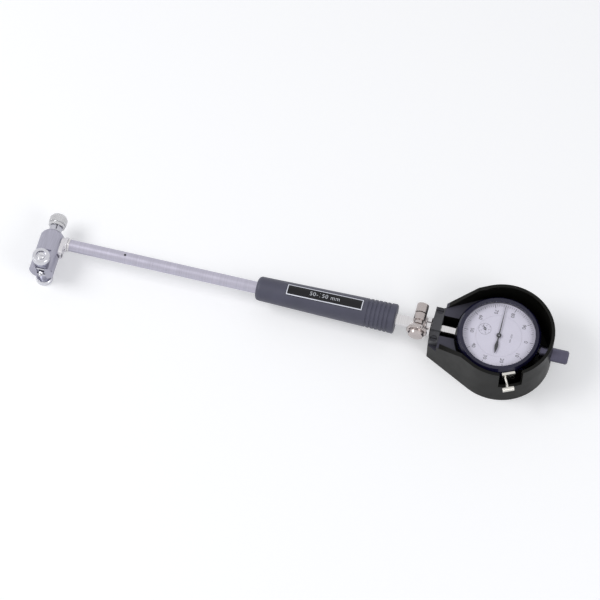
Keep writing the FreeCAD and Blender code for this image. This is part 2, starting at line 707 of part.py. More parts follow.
# ---------------------------------------------------------------- flange, tube and push rod
def head_flange():
    """An oblong plate screwed on the head, turned down to a collar on the tube's axis."""
    oblong = box(SEAT_X, FLANGE_END_X, FLANGE_LOW_Y, 0, -FLANGE_R, FLANGE_R)
    ends = [rod("x", FLANGE_R, SEAT_X, FLANGE_END_X, y) for y in (FLANGE_LOW_Y, 0)]
    collar = turned("x", [(FLANGE_END_X, 0), (FLANGE_END_X, COLLAR_R), (COLLAR_END_X - EDGE, COLLAR_R),
                          (COLLAR_END_X, COLLAR_R - EDGE), (COLLAR_END_X, 0)])
    relief = rod("x", CRANK_HUB_R + 2 * GAP, SEAT_X - OVER, SEAT_X + FLANGE_RELIEF_T)
    bore = rod("x", SPIGOT_R, SPIGOT_X, COLLAR_END_X + OVER)
    passage = rod("x", ROD_R + GAP, SEAT_X - OVER, SPIGOT_X + OVER)
    head_seat = FLANGE_END_X - FLANGE_SCREW_HEAD_T
    seat = rod("x", FLANGE_SCREW_HEAD_R, head_seat, FLANGE_END_X + OVER, flange_screw_y())
    hole = rod("x", FLANGE_SCREW_R, SEAT_X - OVER, FLANGE_END_X, flange_screw_y())
    return cut(fused(oblong, collar, *ends), relief, bore, passage, seat, hole)


def flange_screw():
    y = flange_screw_y()
    head_seat = FLANGE_END_X - FLANGE_SCREW_HEAD_T
    head = rod("x", FLANGE_SCREW_HEAD_R, head_seat, FLANGE_END_X + FLANGE_SCREW_PROUD, y)
    return fused(head, rod("x", FLANGE_SCREW_R, SEAT_X - FLANGE_SCREW_L, head_seat, y))


def lock_ring():
    return turned("x", [(COLLAR_END_X, SPIGOT_R), (COLLAR_END_X, LOCK_RING_R - LOCK_RING_EDGE),
                        (COLLAR_END_X + LOCK_RING_EDGE, LOCK_RING_R), (TUBE_X - LOCK_RING_EDGE, LOCK_RING_R),
                        (TUBE_X, LOCK_RING_R - LOCK_RING_EDGE), (TUBE_X, SPIGOT_R)])


def main_tube():
    body = turned("x", [(SPIGOT_X, TUBE_BORE), (SPIGOT_X, SPIGOT_R), (TUBE_X, SPIGOT_R), (TUBE_X, TUBE_R),
                        (TUBE_END_X, TUBE_R), (TUBE_END_X, PLUG_R), (TUBE_END_X - PLUG_L, PLUG_R),
                        (TUBE_END_X - PLUG_L, TUBE_BORE)])
    return cut(body, rod("z", TUBE_PIN_R, 0, TUBE_R + OVER, TUBE_PIN_X, 0))


def rod_bush(start, length):
    return ring("x", TUBE_BORE, ROD_R + RUN, start, start + length)


def tube_pin():
    return rod("z", TUBE_PIN_R, TUBE_BORE, TUBE_R + TUBE_PIN_PROUD, TUBE_PIN_X, 0)


def push_rod_tip():
    nose = CRANK_ARM + CRANK_REACH
    return turned("x", [(nose, 0), (nose, NOSE_R), (nose + NOSE_L, NOSE_R), (nose + NOSE_L, ROD_R),
                        (nose + NOSE_L + ROD_TIP_L, ROD_R), (nose + NOSE_L + ROD_TIP_L, 0)])


def push_rod():
    return rod("x", ROD_R, CRANK_ARM + CRANK_REACH + NOSE_L + ROD_TIP_L, ROD_END_X - PLAY)


def push_rod_collar():
    return ring("x", TUBE_BORE - GAP, ROD_R, ROD_COLLAR_X, ROD_COLLAR_X + ROD_COLLAR_L)


def push_rod_spring():
    start = V(ROD_COLLAR_X + ROD_COLLAR_L, 0, 0)
    return coil(ROD_R + ROD_SPRING_OFF, ROD_SPRING_WIRE, ROD_SPRING_L, ROD_SPRING_TURNS, start, "x")


# ---------------------------------------------------------------- grip
def grip_radius(x):
    return GRIP_R_HEAD + (GRIP_R_DIAL - GRIP_R_HEAD) * (x - GRIP_X) / GRIP_L


def rounded_end():
    """Quarter-round corner points of the grip's head end."""
    steps = [math.radians(15 * i) for i in range(1, 6)]
    centre = grip_radius(GRIP_X + GRIP_ROUND) - GRIP_ROUND
    return [(GRIP_X + GRIP_ROUND * (1 - math.sin(a)), centre + GRIP_ROUND * math.cos(a)) for a in reversed(steps)]


def grip_sleeve():
    outline = [(GRIP_X, TUBE_R), (GRIP_X, grip_radius(GRIP_X + GRIP_ROUND) - GRIP_ROUND)]
    outline += rounded_end()
    bevel_x = GRIP_END_X - GRIP_BEVEL
    outline += [(GRIP_X + GRIP_ROUND, grip_radius(GRIP_X + GRIP_ROUND)), (bevel_x, grip_radius(bevel_x)),
                (GRIP_END_X, grip_radius(GRIP_END_X) - GRIP_BEVEL), (GRIP_END_X, TUBE_R)]
    body = turned("x", outline)
    grooves = []
    for i in range(GROOVES):
        x = GRIP_END_X - GROOVE_FROM_END + GROOVE_PITCH * i
        r = grip_radius(x)
        end = x + GROOVE_WIDTH
        grooves.append(turned("x", [(x, r + OVER), (x, r), (x + GROOVE_SLOPE, r - GROOVE_DEPTH),
                                    (end - GROOVE_SLOPE, r - GROOVE_DEPTH), (end, r), (end, r + OVER)]))
    return cut(body, label_plate(), *grooves)


def label_plate():
    """A thin tapered shell let into the top of the grip."""
    low = LABEL_X
    high = LABEL_X + LABEL_L
    shell = turned("x", [(low, grip_radius(low) - LABEL_T), (low, grip_radius(low) + LABEL_PROUD),
                         (high, grip_radius(high) + LABEL_PROUD), (high, grip_radius(high) - LABEL_T)])
    return shell.common(box(low - OVER, high + OVER, -LABEL_W / 2, LABEL_W / 2, 0, GRIP_R_DIAL + OVER))


# ---------------------------------------------------------------- stem clamp
def clamp_sleeve():
    """Neck, split barrel and rim that take the dial's stem."""
    plug_x = TUBE_END_X - PLUG_L
    body = turned("x", [(plug_x, TUBE_BORE), (plug_x, PLUG_R), (TUBE_END_X, PLUG_R), (TUBE_END_X, TUBE_R),
                        (NECK_END_X, TUBE_R), (NECK_END_X, BARREL_R), (RIM_X, BARREL_R), (RIM_X, RIM_R - RIM_EDGE),
                        (RIM_X + RIM_EDGE, RIM_R), (CLAMP_END_X - RIM_EDGE, RIM_R),
                        (CLAMP_END_X, RIM_R - RIM_EDGE),
                        (CLAMP_END_X, STEM_R + PLAY), (NECK_END_X + SOCKET_STEP, STEM_R + PLAY),
                        (NECK_END_X + SOCKET_STEP, TUBE_BORE)])
    reach = RIM_R + OVER
    split = box(NECK_END_X + SPLIT_FROM, CLAMP_END_X + OVER, -SPLIT_W / 2, SPLIT_W / 2, -reach, reach)
    return cut(body, split)


def clamp_ring():
    """A split ring round the barrel, with two round ears for the clamp screw."""
    start = NECK_END_X + (BARREL_L - RING_L) / 2
    band = ring("x", RING_R, BARREL_R, start, start + RING_L)
    ears = rod("y", EAR_R, EAR_FRONT_Y, EAR_BACK_Y, EAR_X, EAR_Z)
    half = EAR_R - EAR_WEB_IN
    web = box(EAR_X - half, EAR_X + half, EAR_FRONT_Y, RING_R - EAR_GAP, 0, EAR_Z)
    split = box(start - OVER, start + RING_L + OVER, EAR_SPLIT_Y - EAR_GAP / 2, EAR_SPLIT_Y + EAR_GAP / 2,
                0, EAR_Z + EAR_R + OVER)
    hole = rod("y", CLAMP_SCREW_R + RUN, EAR_FRONT_Y - OVER, EAR_BACK_Y - EAR_BLIND, EAR_X, EAR_Z)
    return cut(fused(band, ears, web), rod("x", BARREL_R, start - OVER, start + RING_L + OVER), split, hole)


def clamp_screw():
    """Flared, knurled thumb screw with a polished domed end."""
    neck = EAR_FRONT_Y - PLAY
    flare = neck - CLAMP_NECK_L
    rim = flare - CLAMP_HEAD_L
    dome = rim - CLAMP_DOME_L
    head = turned("y", [(flare, 0), (flare, CLAMP_NECK_R + CLAMP_EDGE),
                        (flare - CLAMP_FLARE_L, CLAMP_HEAD_R - CLAMP_FLARE_D),
                        (flare - CLAMP_CONE_L, CLAMP_HEAD_R), (rim + EDGE, CLAMP_HEAD_R),
                        (rim, CLAMP_HEAD_R - CLAMP_EDGE), (rim, 0)], EAR_X, EAR_Z)
    head = head.common(ribbed("y", CLAMP_RIBS, CLAMP_HEAD_R, CLAMP_RIB_D, rim - OVER, flare + OVER, EAR_X, EAR_Z))
    groove = rim - CLAMP_DOME_NECK_L
    end = turned("y", [(rim, 0), (rim, CLAMP_DOME_R - CLAMP_DOME_GROOVE_D),
                       (groove, CLAMP_DOME_R - CLAMP_DOME_GROOVE_D),
                       (groove - EDGE, CLAMP_DOME_R), (dome + 3 * EDGE, CLAMP_DOME_R - EDGE),
                       (dome + EDGE, CLAMP_DOME_R - 5 * EDGE), (dome, CLAMP_DOME_FACE_R), (dome, 0)], EAR_X, EAR_Z)
    neck_part = rod("y", CLAMP_NECK_R, flare, neck, EAR_X, EAR_Z)
    shank = rod("y", CLAMP_SCREW_R, neck, EAR_BACK_Y - CLAMP_SHANK_SHORT, EAR_X, EAR_Z)
    return fused(head, end, neck_part, shank)


# ---------------------------------------------------------------- dial guard
def guard_centre_x():
    return DIAL_X + GUARD_SHIFT


def guard_outline(radius, base_x, base_half, z0, z1):
    """A ring's disc with tangent sides that run in to a flat base."""
    cx = guard_centre_x()
    dx = base_x - cx
    reach = math.hypot(dx, base_half)
    tangent = math.atan2(base_half, dx) - math.acos(radius / reach)
    tx = cx + radius * math.cos(tangent)
    ty = radius * math.sin(tangent)
    sides = plate([(base_x, -base_half), (tx, -ty), (cx, 0), (tx, ty), (base_x, base_half)], z0, z1)
    return fused(rod("z", radius, z0, z1, cx, 0), sides)


def guard_shell():
    """Cup with a tapering base; walls, webs, stem channel, cap hole and clamp notch."""
    outer = guard_outline(GUARD_R, BLOCK_X, GUARD_BASE_HALF, GUARD_BACK_Z, GUARD_TOP_Z)
    floor = GUARD_BACK_Z + GUARD_FLOOR_T
    bowl = rod("z", GUARD_R - GUARD_WALL, floor, GUARD_TOP_Z + OVER, guard_centre_x(), 0)
    recess = guard_outline(GUARD_R - GUARD_WALL, BLOCK_X + BLOCK_T, GUARD_BASE_HALF - GUARD_SIDE_T, WEB_Z,
                           GUARD_TOP_Z + OVER)
    channel = box(BLOCK_X + BLOCK_T, DIAL_X, -WEB_SLOT_W / 2, WEB_SLOT_W / 2, floor, GUARD_TOP_Z)
    block_seat = box(BLOCK_X - OVER, BLOCK_X + BLOCK_T, -GUARD_R, GUARD_R, 0, GUARD_TOP_Z + OVER)
    stem = rod("x", STEM_R + PLAY, BLOCK_X - OVER, DIAL_X)
    cap = rod("x", CAP_HOLE_R, DIAL_X, DIAL_X + 2 * GUARD_R)
    screws = [rod("z", GUARD_SCREW_THREAD_R, -GUARD_HOLE_L, OVER, BLOCK_X + BLOCK_T / 2, s * GUARD_SCREW_Y)
              for s in (1, -1)]
    return cut(outer, bowl, recess, channel, block_seat, stem, cap, guard_slope(), clamp_notch(), *screws)


def guard_slope():
    """Cuts the side walls down to the webs towards the base."""
    high = guard_centre_x() - GUARD_R * GUARD_SLOPE
    low = BLOCK_X + BLOCK_T
    corners = [V(high, -GUARD_R, GUARD_TOP_Z + OVER), V(low, -GUARD_R, WEB_Z), V(BLOCK_X - OVER, -GUARD_R, WEB_Z),
               V(BLOCK_X - OVER, -GUARD_R, GUARD_TOP_Z + OVER)]
    return Part.Face(Part.makePolygon(corners + corners[:1])).extrude(V(0, 2 * GUARD_R, 0))


def clamp_notch():
    half = math.radians(NOTCH_ANGLE / 2)
    reach = 2 * GUARD_R
    wedge = plate([(0, 0), (reach * math.cos(half), -reach * math.sin(half)),
                   (reach * math.cos(half), reach * math.sin(half))], NOTCH_Z, GUARD_TOP_Z + OVER)
    wedge.translate(V(DIAL_X, 0, 0))
    return turn_about(wedge, DIAL_X, 0, CLAMP_ANGLE)


def guard_block():
    """Cap of the guard's stem clamp, held by two screws."""
    end = BLOCK_X + BLOCK_T - BLOCK_PLAY
    half = GUARD_BASE_HALF - BLOCK_IN
    base = box(BLOCK_X, end, -half, half, BLOCK_PLAY, WEB_Z)
    raised = box(BLOCK_X, end, -BLOCK_RAISE_W / 2, BLOCK_RAISE_W / 2, WEB_Z - OVER, WEB_Z + BLOCK_RAISE)
    x = BLOCK_X + BLOCK_T / 2
    low = WEB_Z - GUARD_SCREW_SEAT
    holes = [rod("z", GUARD_SCREW_R, -OVER, WEB_Z + OVER, x, s * GUARD_SCREW_Y) for s in (1, -1)]
    seats = [rod("z", GUARD_SCREW_HEAD_R + GUARD_HEAD_PLAY, low, WEB_Z + OVER, x, s * GUARD_SCREW_Y) for s in (1, -1)]
    return cut(fused(base, raised), rod("x", STEM_R + PLAY, BLOCK_X - OVER, DIAL_X), *holes, *seats)


def guard_screws():
    x = BLOCK_X + BLOCK_T / 2
    reach = GUARD_SCREW_HEAD_R + OVER
    low = WEB_Z - GUARD_SCREW_SEAT
    top = WEB_Z - GUARD_HEAD_PLAY
    screws = []
    for s in (1, -1):
        y = s * GUARD_SCREW_Y
        head = rod("z", GUARD_SCREW_HEAD_R, low, top, x, y)
        shank = rod("z", GUARD_SCREW_THREAD_R, -GUARD_SCREW_L, low, x, y)
        slot = box(x - reach, x + reach, y - SLOT_HALF, y + SLOT_HALF, top - GUARD_SLOT_DEPTH, WEB_Z)
        screws.append(cut(fused(head, shank), slot))
    return Part.makeCompound(screws)


# ---------------------------------------------------------------- dial indicator
def on_dial(profile):
    return turned("z", profile, DIAL_X, 0)


def dial_case():
    inner = CASE_R - CASE_WALL
    body = on_dial([(CASE_BACK_Z, inner), (CASE_BACK_Z, CASE_R), (CASE_FRONT_Z, CASE_R), (CASE_FRONT_Z, inner)])
    boss = rod("x", STEM_BOSS_R, DIAL_X - CASE_R - STEM_BOSS_L, DIAL_X - inner)
    bush = rod("x", TOP_BUSH_R, DIAL_X + inner, DIAL_X + CASE_R + TOP_BUSH_L)
    space = rod("z", inner, CASE_BACK_Z, CASE_FRONT_Z, DIAL_X, 0)
    solid = cut(fused(body, boss, bush), space)
    stem_hole = rod("x", STEM_R, DIAL_X - 2 * CASE_R, DIAL_X - inner + OVER)
    top_hole = rod("x", SPINDLE_R + RUN, DIAL_X, DIAL_X + CAP_END)
    return cut(solid, stem_hole, top_hole)


def back_cover():
    back = CASE_BACK_Z - COVER_T
    rim = CASE_R - EDGE
    body = on_dial([(back, 0), (back, rim - COVER_EDGE), (back + COVER_EDGE, rim), (CASE_BACK_Z, rim),
                    (CASE_BACK_Z, 0)])
    return cut(body, *[rod("z", COVER_SCREW_R + COVER_HEAD_PLAY, back - OVER, CASE_BACK_Z - COVER_T / 2, DIAL_X + x, y)
                       for x, y in circle_points(4, COVER_SCREW_PCR, math.pi / 4)])


def back_cover_screws():
    low = CASE_BACK_Z - COVER_T + COVER_HEAD_PLAY
    reach = COVER_SCREW_R + OVER
    screws = []
    for x, y in circle_points(4, COVER_SCREW_PCR, math.pi / 4):
        head = rod("z", COVER_SCREW_R, low, CASE_BACK_Z - COVER_T / 2, DIAL_X + x, y)
        slot = box(DIAL_X + x - reach, DIAL_X + x + reach, y - COVER_SLOT_HALF, y + COVER_SLOT_HALF, low - OVER,
                   low + GAP)
        screws.append(cut(head, slot))
    return Part.makeCompound(screws)


def stem():
    return ring("x", STEM_R, SPINDLE_R + RUN, STEM_END_X, DIAL_X - CASE_R + CASE_WALL)


def rack_span():
    """Where the rack's toothed stretch lies along the spindle."""
    x = DIAL_X - ARBOR_DX
    return x - RACK_LOW, x + RACK_HIGH


def spindle():
    """Straight rod with a rack cut in its +Y side."""
    low, high = rack_span()
    body = rod("x", SPINDLE_R, SPINDLE_LOW_X, DIAL_X + SPINDLE_UP)
    pitch = 2 * math.pi * RACK_PITCH_R / RACK_TEETH
    root = RACK_LINE - RACK_DEDENDUM * MODULE
    top = RACK_LINE + RACK_ADDENDUM * MODULE
    flat = box(low, high, top, SPINDLE_R + OVER, -SPINDLE_R, SPINDLE_R)
    cuts = [flat]
    meet = DIAL_X - ARBOR_DX
    first = math.ceil((low - meet) / pitch + 0.5)
    last = math.floor((high - meet) / pitch - 0.5)
    for i in range(first, last + 1):
        x = meet + pitch * i
        cuts.append(plate([(x - RACK_ROOT_HALF, root), (x + RACK_ROOT_HALF, root), (x + RACK_MOUTH_HALF, top),
                           (x - RACK_MOUTH_HALF, top)], -SPINDLE_R, SPINDLE_R))
    pin = rod("y", GUIDE_PIN_R, -SPINDLE_R - OVER, -SPINDLE_R + GUIDE_PIN_SEAT, guide_pin_x(), 0)
    return cut(body, *cuts, pin)


def guide_pin_x():
    return DIAL_X + GUIDE_PIN_OFF


def guide_pin():
    return rod("y", GUIDE_PIN_R, -SPINDLE_R - GUIDE_PIN_L, -SPINDLE_R + GUIDE_PIN_SEAT, guide_pin_x(), 0)


def guide_fork():
    """Slotted plate under the movement that keeps the spindle from turning."""
    x = guide_pin_x()
    y = -SPINDLE_R - FORK_T
    body = box(x - FORK_HALF, x + FORK_HALF + CONTACT_TRAVEL, y - FORK_T, y, FORK_LOW_Z, LOWER_PLATE_Z)
    slot = box(x - GUIDE_PIN_R - PLAY, x + GUIDE_PIN_R + CONTACT_TRAVEL + GAP, y - 2 * FORK_T, y + OVER,
               -GUIDE_PIN_R - RUN, GUIDE_PIN_R + RUN)
    return cut(body, slot)


def return_spring_x():
    return guide_pin_x() - GUIDE_PIN_R - PLAY - RETURN_SPRING_L


def return_spring():
    start = V(return_spring_x(), -SPINDLE_R - RETURN_SPRING_OFF, 0)
    return coil(RETURN_SPRING_R, RETURN_SPRING_WIRE, RETURN_SPRING_L, RETURN_SPRING_TURNS, start, "x")


def spring_post():
    x = return_spring_x() - SPRING_POST_R
    return rod("z", SPRING_POST_R, SPRING_POST_LOW_Z, LOWER_PLATE_Z, x, -SPINDLE_R - RETURN_SPRING_OFF)


def spindle_contact():
    centre = SPINDLE_LOW_X - SPINDLE_TIP_L + SPINDLE_TIP_R
    body = rod("x", SPINDLE_R, centre + SPINDLE_TIP_NECK, SPINDLE_LOW_X)
    neck = rod("x", SPINDLE_TIP_R, centre, SPINDLE_LOW_X)
    half_ball = Part.makeSphere(SPINDLE_TIP_R, V(centre, 0, 0), V(1, 0, 0), -90, 0, 360)
    return body.fuse([neck, half_ball])


def spindle_cap():
    start = DIAL_X + CAP_START
    end = DIAL_X + CAP_END
    body = turned("x", [(start, 0), (start, CAP_R), (end - CAP_EDGE, CAP_R), (end, CAP_R - CAP_EDGE), (end, 0)])
    thread = rod("x", TOP_BUSH_R, DIAL_X, DIAL_X + CASE_R + TOP_BUSH_L + TOP_BUSH_PLAY)
    room = rod("x", SPINDLE_R + GAP, DIAL_X, DIAL_X + CAP_END - CAP_WALL)
    return cut(body, thread, room)


# ---------------------------------------------------------------- bezel, crystal, face and hands
def bezel():
    lip = BEZEL_FRONT_Z - BEZEL_LIP_T
    seat = lip - CRYSTAL_T
    skirt = CASE_R + RUN
    step = CASE_FRONT_Z + BEZEL_PLAY
    return on_dial([(BEZEL_BACK_Z, skirt), (BEZEL_BACK_Z, BEZEL_R - EDGE), (BEZEL_BACK_Z + EDGE, BEZEL_R),
                    (BEZEL_FRONT_Z - BEZEL_BEVEL, BEZEL_R), (BEZEL_FRONT_Z, BEZEL_R - BEZEL_BEVEL),
                    (BEZEL_FRONT_Z, BEZEL_LIP_R), (lip, BEZEL_LIP_R), (lip, CRYSTAL_R), (seat, CRYSTAL_R),
                    (seat, BEZEL_INNER_R), (step, BEZEL_INNER_R), (step, skirt)])


def crystal():
    top = BEZEL_FRONT_Z - BEZEL_LIP_T
    return rod("z", CRYSTAL_R, top - CRYSTAL_T, top, DIAL_X, 0)


def dial_ring():
    return ring("z", BEZEL_INNER_R, FACE_SPLIT_R, FACE_Z, FACE_Z + FACE_T, DIAL_X, 0)


def dial_centre():
    disc = rod("z", FACE_SPLIT_R - FACE_PLAY, FACE_Z, FACE_Z + FACE_T, DIAL_X, 0)
    centre_hole = rod("z", ARBOR_R + GAP, FACE_Z - OVER, FACE_Z + 2 * OVER, DIAL_X, 0)
    hand_hole = rod("z", ARBOR_R + GAP, FACE_Z - OVER, FACE_Z + 2 * OVER, DIAL_X - ARBOR_DX, ARBOR_Y)
    return cut(disc, centre_hole, hand_hole)


def main_pointer():
    """Needle to +Y with a leaf-shaped tail, on a small hub."""
    z0 = NEEDLE_Z
    z1 = NEEDLE_Z + NEEDLE_T
    tip = NEEDLE_TIP_HALF
    needle = plate([(-NEEDLE_HALF, 0), (NEEDLE_HALF, 0), (tip, NEEDLE_L), (-tip, NEEDLE_L)], z0, z1)
    side = [(TAIL_ROOT_HALF, 0), (NEEDLE_HALF, -TAIL_NECK_L), (TAIL_HALF, -TAIL_WIDE_L),
            (TAIL_SLIM_HALF, -TAIL_SLIM_L), (TAIL_TIP_HALF, -TAIL_L)]
    leaf = plate(side + [(-x, y) for x, y in reversed(side)], z0, z1)
    hub = rod("z", NEEDLE_HUB_R, z0 - HUB_PROUD, z1 + HUB_PROUD)
    pointer = cut(fused(hub, needle, leaf), rod("z", ARBOR_R, z0 - OVER, z1 + OVER))
    pointer.translate(V(DIAL_X, 0, 0))
    return pointer


def centre_arbor():
    """Centre arbor with the ten-tooth pinion that carries the main pointer."""
    shaft = rod("z", ARBOR_R, LOWER_PLATE_Z + ARBOR_FOOT, NEEDLE_Z + NEEDLE_T, DIAL_X, 0)
    phase = math.atan2(ARBOR_Y, -ARBOR_DX)
    low = WHEEL_Z - PINION_BELOW
    teeth = gear(PINION_TEETH, MODULE * PINION_TEETH / 2, PINION_TIP, PINION_ROOT, low, low + PINION_T,
                 DIAL_X, 0, phase)
    return fused(shaft, teeth)


def wheel_arbor():
    """Rack pinion and hundred-tooth wheel on one arbor."""
    x = DIAL_X - ARBOR_DX
    half = RACK_PINION_HALF
    shaft = rod("z", ARBOR_R, -half - ARBOR_FOOT, HAND_Z + HAND_T, x, ARBOR_Y)
    pinion = gear(RACK_TEETH, RACK_PITCH_R, RACK_PINION_TIP, WHEEL_ROOT, -half, half, x, ARBOR_Y, -math.pi / 2)
    return fused(shaft, pinion, train_wheel(x, ARBOR_Y))


def train_wheel(x, y):
    """A hundred-tooth wheel with a gap facing the centre pinion's tooth."""
    facing = math.atan2(-y, DIAL_X - x)
    wheel = gear(WHEEL_TEETH, MODULE * WHEEL_TEETH / 2, WHEEL_TIP, WHEEL_ROOT, WHEEL_Z, WHEEL_Z + WHEEL_T, x, y,
                 facing + math.pi / WHEEL_TEETH)
    windows = [rod("z", WHEEL_WINDOW_R, WHEEL_Z - OVER, WHEEL_Z + WHEEL_T + OVER, x + a, y + b)
               for a, b in circle_points(WHEEL_WINDOWS, WHEEL_WINDOW_OFF)]
    return cut(wheel, *windows)


def take_up_wheel():
    """Second hundred-tooth wheel, loaded by the hairspring to take up backlash."""
    x = DIAL_X + ARBOR_DX
    shaft = rod("z", ARBOR_R, LOWER_PLATE_Z + ARBOR_FOOT, UPPER_PLATE_Z + PLATE_T, x, -ARBOR_Y)
    return fused(shaft, train_wheel(x, -ARBOR_Y))


def hairspring():
    """Flat spiral ribbon from the take-up arbor out to its stud."""
    inner = ARBOR_R + HAIRSPRING_PLAY
    outer = HAIRSPRING_R
    steps = 14 * HAIRSPRING_TURNS
    centre = (DIAL_X + ARBOR_DX, -ARBOR_Y)

    def spiral(offset):
        run = [(i / steps, 2 * math.pi * HAIRSPRING_TURNS * i / steps) for i in range(steps + 1)]
        return [(centre[0] + (inner + offset + (outer - inner) * t) * math.cos(a),
                 centre[1] + (inner + offset + (outer - inner) * t) * math.sin(a)) for t, a in run]

    low = WHEEL_Z + WHEEL_T + GAP / 2
    return plate(spiral(0.0) + list(reversed(spiral(HAIRSPRING_T))), low, UPPER_PLATE_Z - GAP)


def lower_plate():
    body = rod("z", CASE_R - CASE_WALL, LOWER_PLATE_Z, LOWER_PLATE_Z + PLATE_T, DIAL_X, 0)
    holes = [rod("z", ARBOR_R + RUN, LOWER_PLATE_Z - OVER, LOWER_PLATE_Z + PLATE_T + OVER, DIAL_X + x, y)
             for x, y in ((-ARBOR_DX, ARBOR_Y), (0, 0), (ARBOR_DX, -ARBOR_Y))]
    return cut(body, *holes)


def upper_plate():
    reach = (ARBOR_OFF + BAR_PAST) / ARBOR_OFF
    z0 = UPPER_PLATE_Z
    z1 = UPPER_PLATE_Z + PLATE_T
    bar = stadium(DIAL_X - ARBOR_DX * reach, ARBOR_Y * reach, DIAL_X + ARBOR_DX * reach, -ARBOR_Y * reach,
                  BAR_HALF, z0, z1)
    (ax, ay), (bx, by) = pillar_places()
    cross = stadium(ax, ay, bx, by, CROSS_HALF, z0, z1)
    holes = [rod("z", ARBOR_R + RUN, z0 - OVER, z1 + OVER, DIAL_X + x, y)
             for x, y in ((-ARBOR_DX, ARBOR_Y), (0, 0), (ARBOR_DX, -ARBOR_Y))]
    posts = [rod("z", PILLAR_PIN_R, z0 - OVER, z1 + OVER, x, y) for x, y in pillar_places()]
    return cut(fused(bar, cross), *holes, *posts)


def pillar_places():
    across = PILLAR_OFF / ARBOR_OFF
    return [(DIAL_X + s * ARBOR_Y * across, s * ARBOR_DX * across) for s in (1, -1)]


def pillars():
    """Shouldered pillars between the plates that also carry the fixed face."""
    posts = []
    for x, y in pillar_places():
        low = rod("z", PILLAR_R, LOWER_PLATE_Z + PLATE_T, UPPER_PLATE_Z, x, y)
        pin = rod("z", PILLAR_PIN_R, UPPER_PLATE_Z, UPPER_PLATE_Z + PLATE_T, x, y)
        high = rod("z", PILLAR_R, UPPER_PLATE_Z + PLATE_T, FACE_Z, x, y)
        posts.append(fused(low, pin, high))
    return Part.makeCompound(posts)


def counter_pointer():
    x = DIAL_X - ARBOR_DX
    z1 = HAND_Z + HAND_T
    tip = NEEDLE_TIP_HALF
    hand = plate([(-HAND_HALF, -HAND_TAIL_L), (HAND_HALF, -HAND_TAIL_L), (tip, HAND_L), (-tip, HAND_L)], HAND_Z, z1)
    hub = rod("z", HAND_HUB_R, HAND_Z, z1)
    pointer = cut(fused(hub, hand), rod("z", ARBOR_R, HAND_Z - OVER, z1 + OVER))
    pointer.translate(V(x, ARBOR_Y, 0))
    return turn_about(pointer, x, ARBOR_Y, HAND_ANGLE)


# ---------------------------------------------------------------- bezel clamp
def radial(shape):
    """Move a piece modelled on +X from the dial centre to the bezel clamp's place."""
    shape.translate(V(DIAL_X, 0, 0))
    return turn_about(shape, DIAL_X, 0, CLAMP_ANGLE)


def bezel_clamp_bracket():
    start = BEZEL_R + BRACKET_GAP
    end = start + BRACKET_T
    low = BRACKET_LOW_Z
    foot = box(CASE_R - BRACKET_IN, end, -BRACKET_HALF, BRACKET_HALF, low, BEZEL_BACK_Z - BRACKET_GAP)
    finger = box(start, end, -BRACKET_HALF, BRACKET_HALF, low, BEZEL_FRONT_Z - BRACKET_SHORT)
    hole = rod("x", BEZEL_SCREW_R + RUN, start - OVER, end + OVER, BEZEL_SCREW_OFF, BEZEL_SCREW_Z)
    seat = rod("z", CASE_R, low - OVER, BEZEL_FRONT_Z)
    return radial(cut(fused(foot, finger), hole, seat))


def bezel_clamp_screw():
    bar_x = GUARD_R + BEZEL_BAR_OUT
    shank = rod("x", BEZEL_SCREW_R, BEZEL_R + BRACKET_GAP + PLAY, bar_x, BEZEL_SCREW_OFF, BEZEL_SCREW_Z)
    bar = rod("y", BEZEL_BAR_R, BEZEL_SCREW_OFF - BEZEL_BAR_HALF, BEZEL_SCREW_OFF + BEZEL_BAR_HALF, bar_x,
              BEZEL_SCREW_Z)
    return radial(fused(shank, bar))


# ---------------------------------------------------------------- all the pieces
NODES = {
    "head_body": head_body,
    "contact_plunger": contact_plunger,
    "contact_ball": contact_ball,
    "bell_crank": bell_crank,
    "crank_pin": crank_pin,
    "guide_carriage": guide_carriage,
    "guide_springs": guide_springs,
    "guide_stop_pins": guide_stop_pins,
    "guide_roller_front": lambda: roller(1),
    "guide_roller_rear": lambda: roller(-1),
    "roller_screw_front": lambda: roller_screw(1),
    "roller_screw_rear": lambda: roller_screw(-1),
    "anvil_collet": anvil_collet,
    "anvil_nut": anvil_nut,
    "head_flange": head_flange,
    "flange_screw": flange_screw,
    "lock_ring": lock_ring,
    "main_tube": main_tube,
    "rod_bush_head": lambda: rod_bush(SPIGOT_X, BUSH_L),
    "rod_bush_middle": lambda: rod_bush(TUBE_PIN_X - BUSH_L / 2, BUSH_L),
    "rod_bush_grip": lambda: rod_bush(SPRING_BUSH_X, 4.0),
    "tube_pin": tube_pin,
    "push_rod": push_rod,
    "push_rod_tip": push_rod_tip,
    "push_rod_collar": push_rod_collar,
    "push_rod_spring": push_rod_spring,
    "grip_sleeve": grip_sleeve,
    "label_plate": label_plate,
    "clamp_sleeve": clamp_sleeve,
    "clamp_ring": clamp_ring,
    "clamp_screw": clamp_screw,
    "guard_shell": guard_shell,
    "guard_block": guard_block,
    "guard_screws": guard_screws,
    "dial_case": dial_case,
    "back_cover": back_cover,
    "back_cover_screws": back_cover_screws,
    "stem": stem,
    "spindle": spindle,
    "guide_pin": guide_pin,
    "guide_fork": guide_fork,
    "return_spring": return_spring,
    "spring_post": spring_post,
    "spindle_contact": spindle_contact,
    "spindle_cap": spindle_cap,
    "bezel": bezel,
    "crystal": crystal,
    "dial_ring": dial_ring,
    "dial_centre": dial_centre,
    "main_pointer": main_pointer,
    "counter_pointer": counter_pointer,
    "centre_arbor": centre_arbor,
    "wheel_arbor": wheel_arbor,
    "take_up_wheel": take_up_wheel,
    "hairspring": hairspring,
    "lower_plate": lower_plate,
    "upper_plate": upper_plate,
    "pillars": pillars,
    "bezel_clamp_bracket": bezel_clamp_bracket,
    "bezel_clamp_screw": bezel_clamp_screw,
}


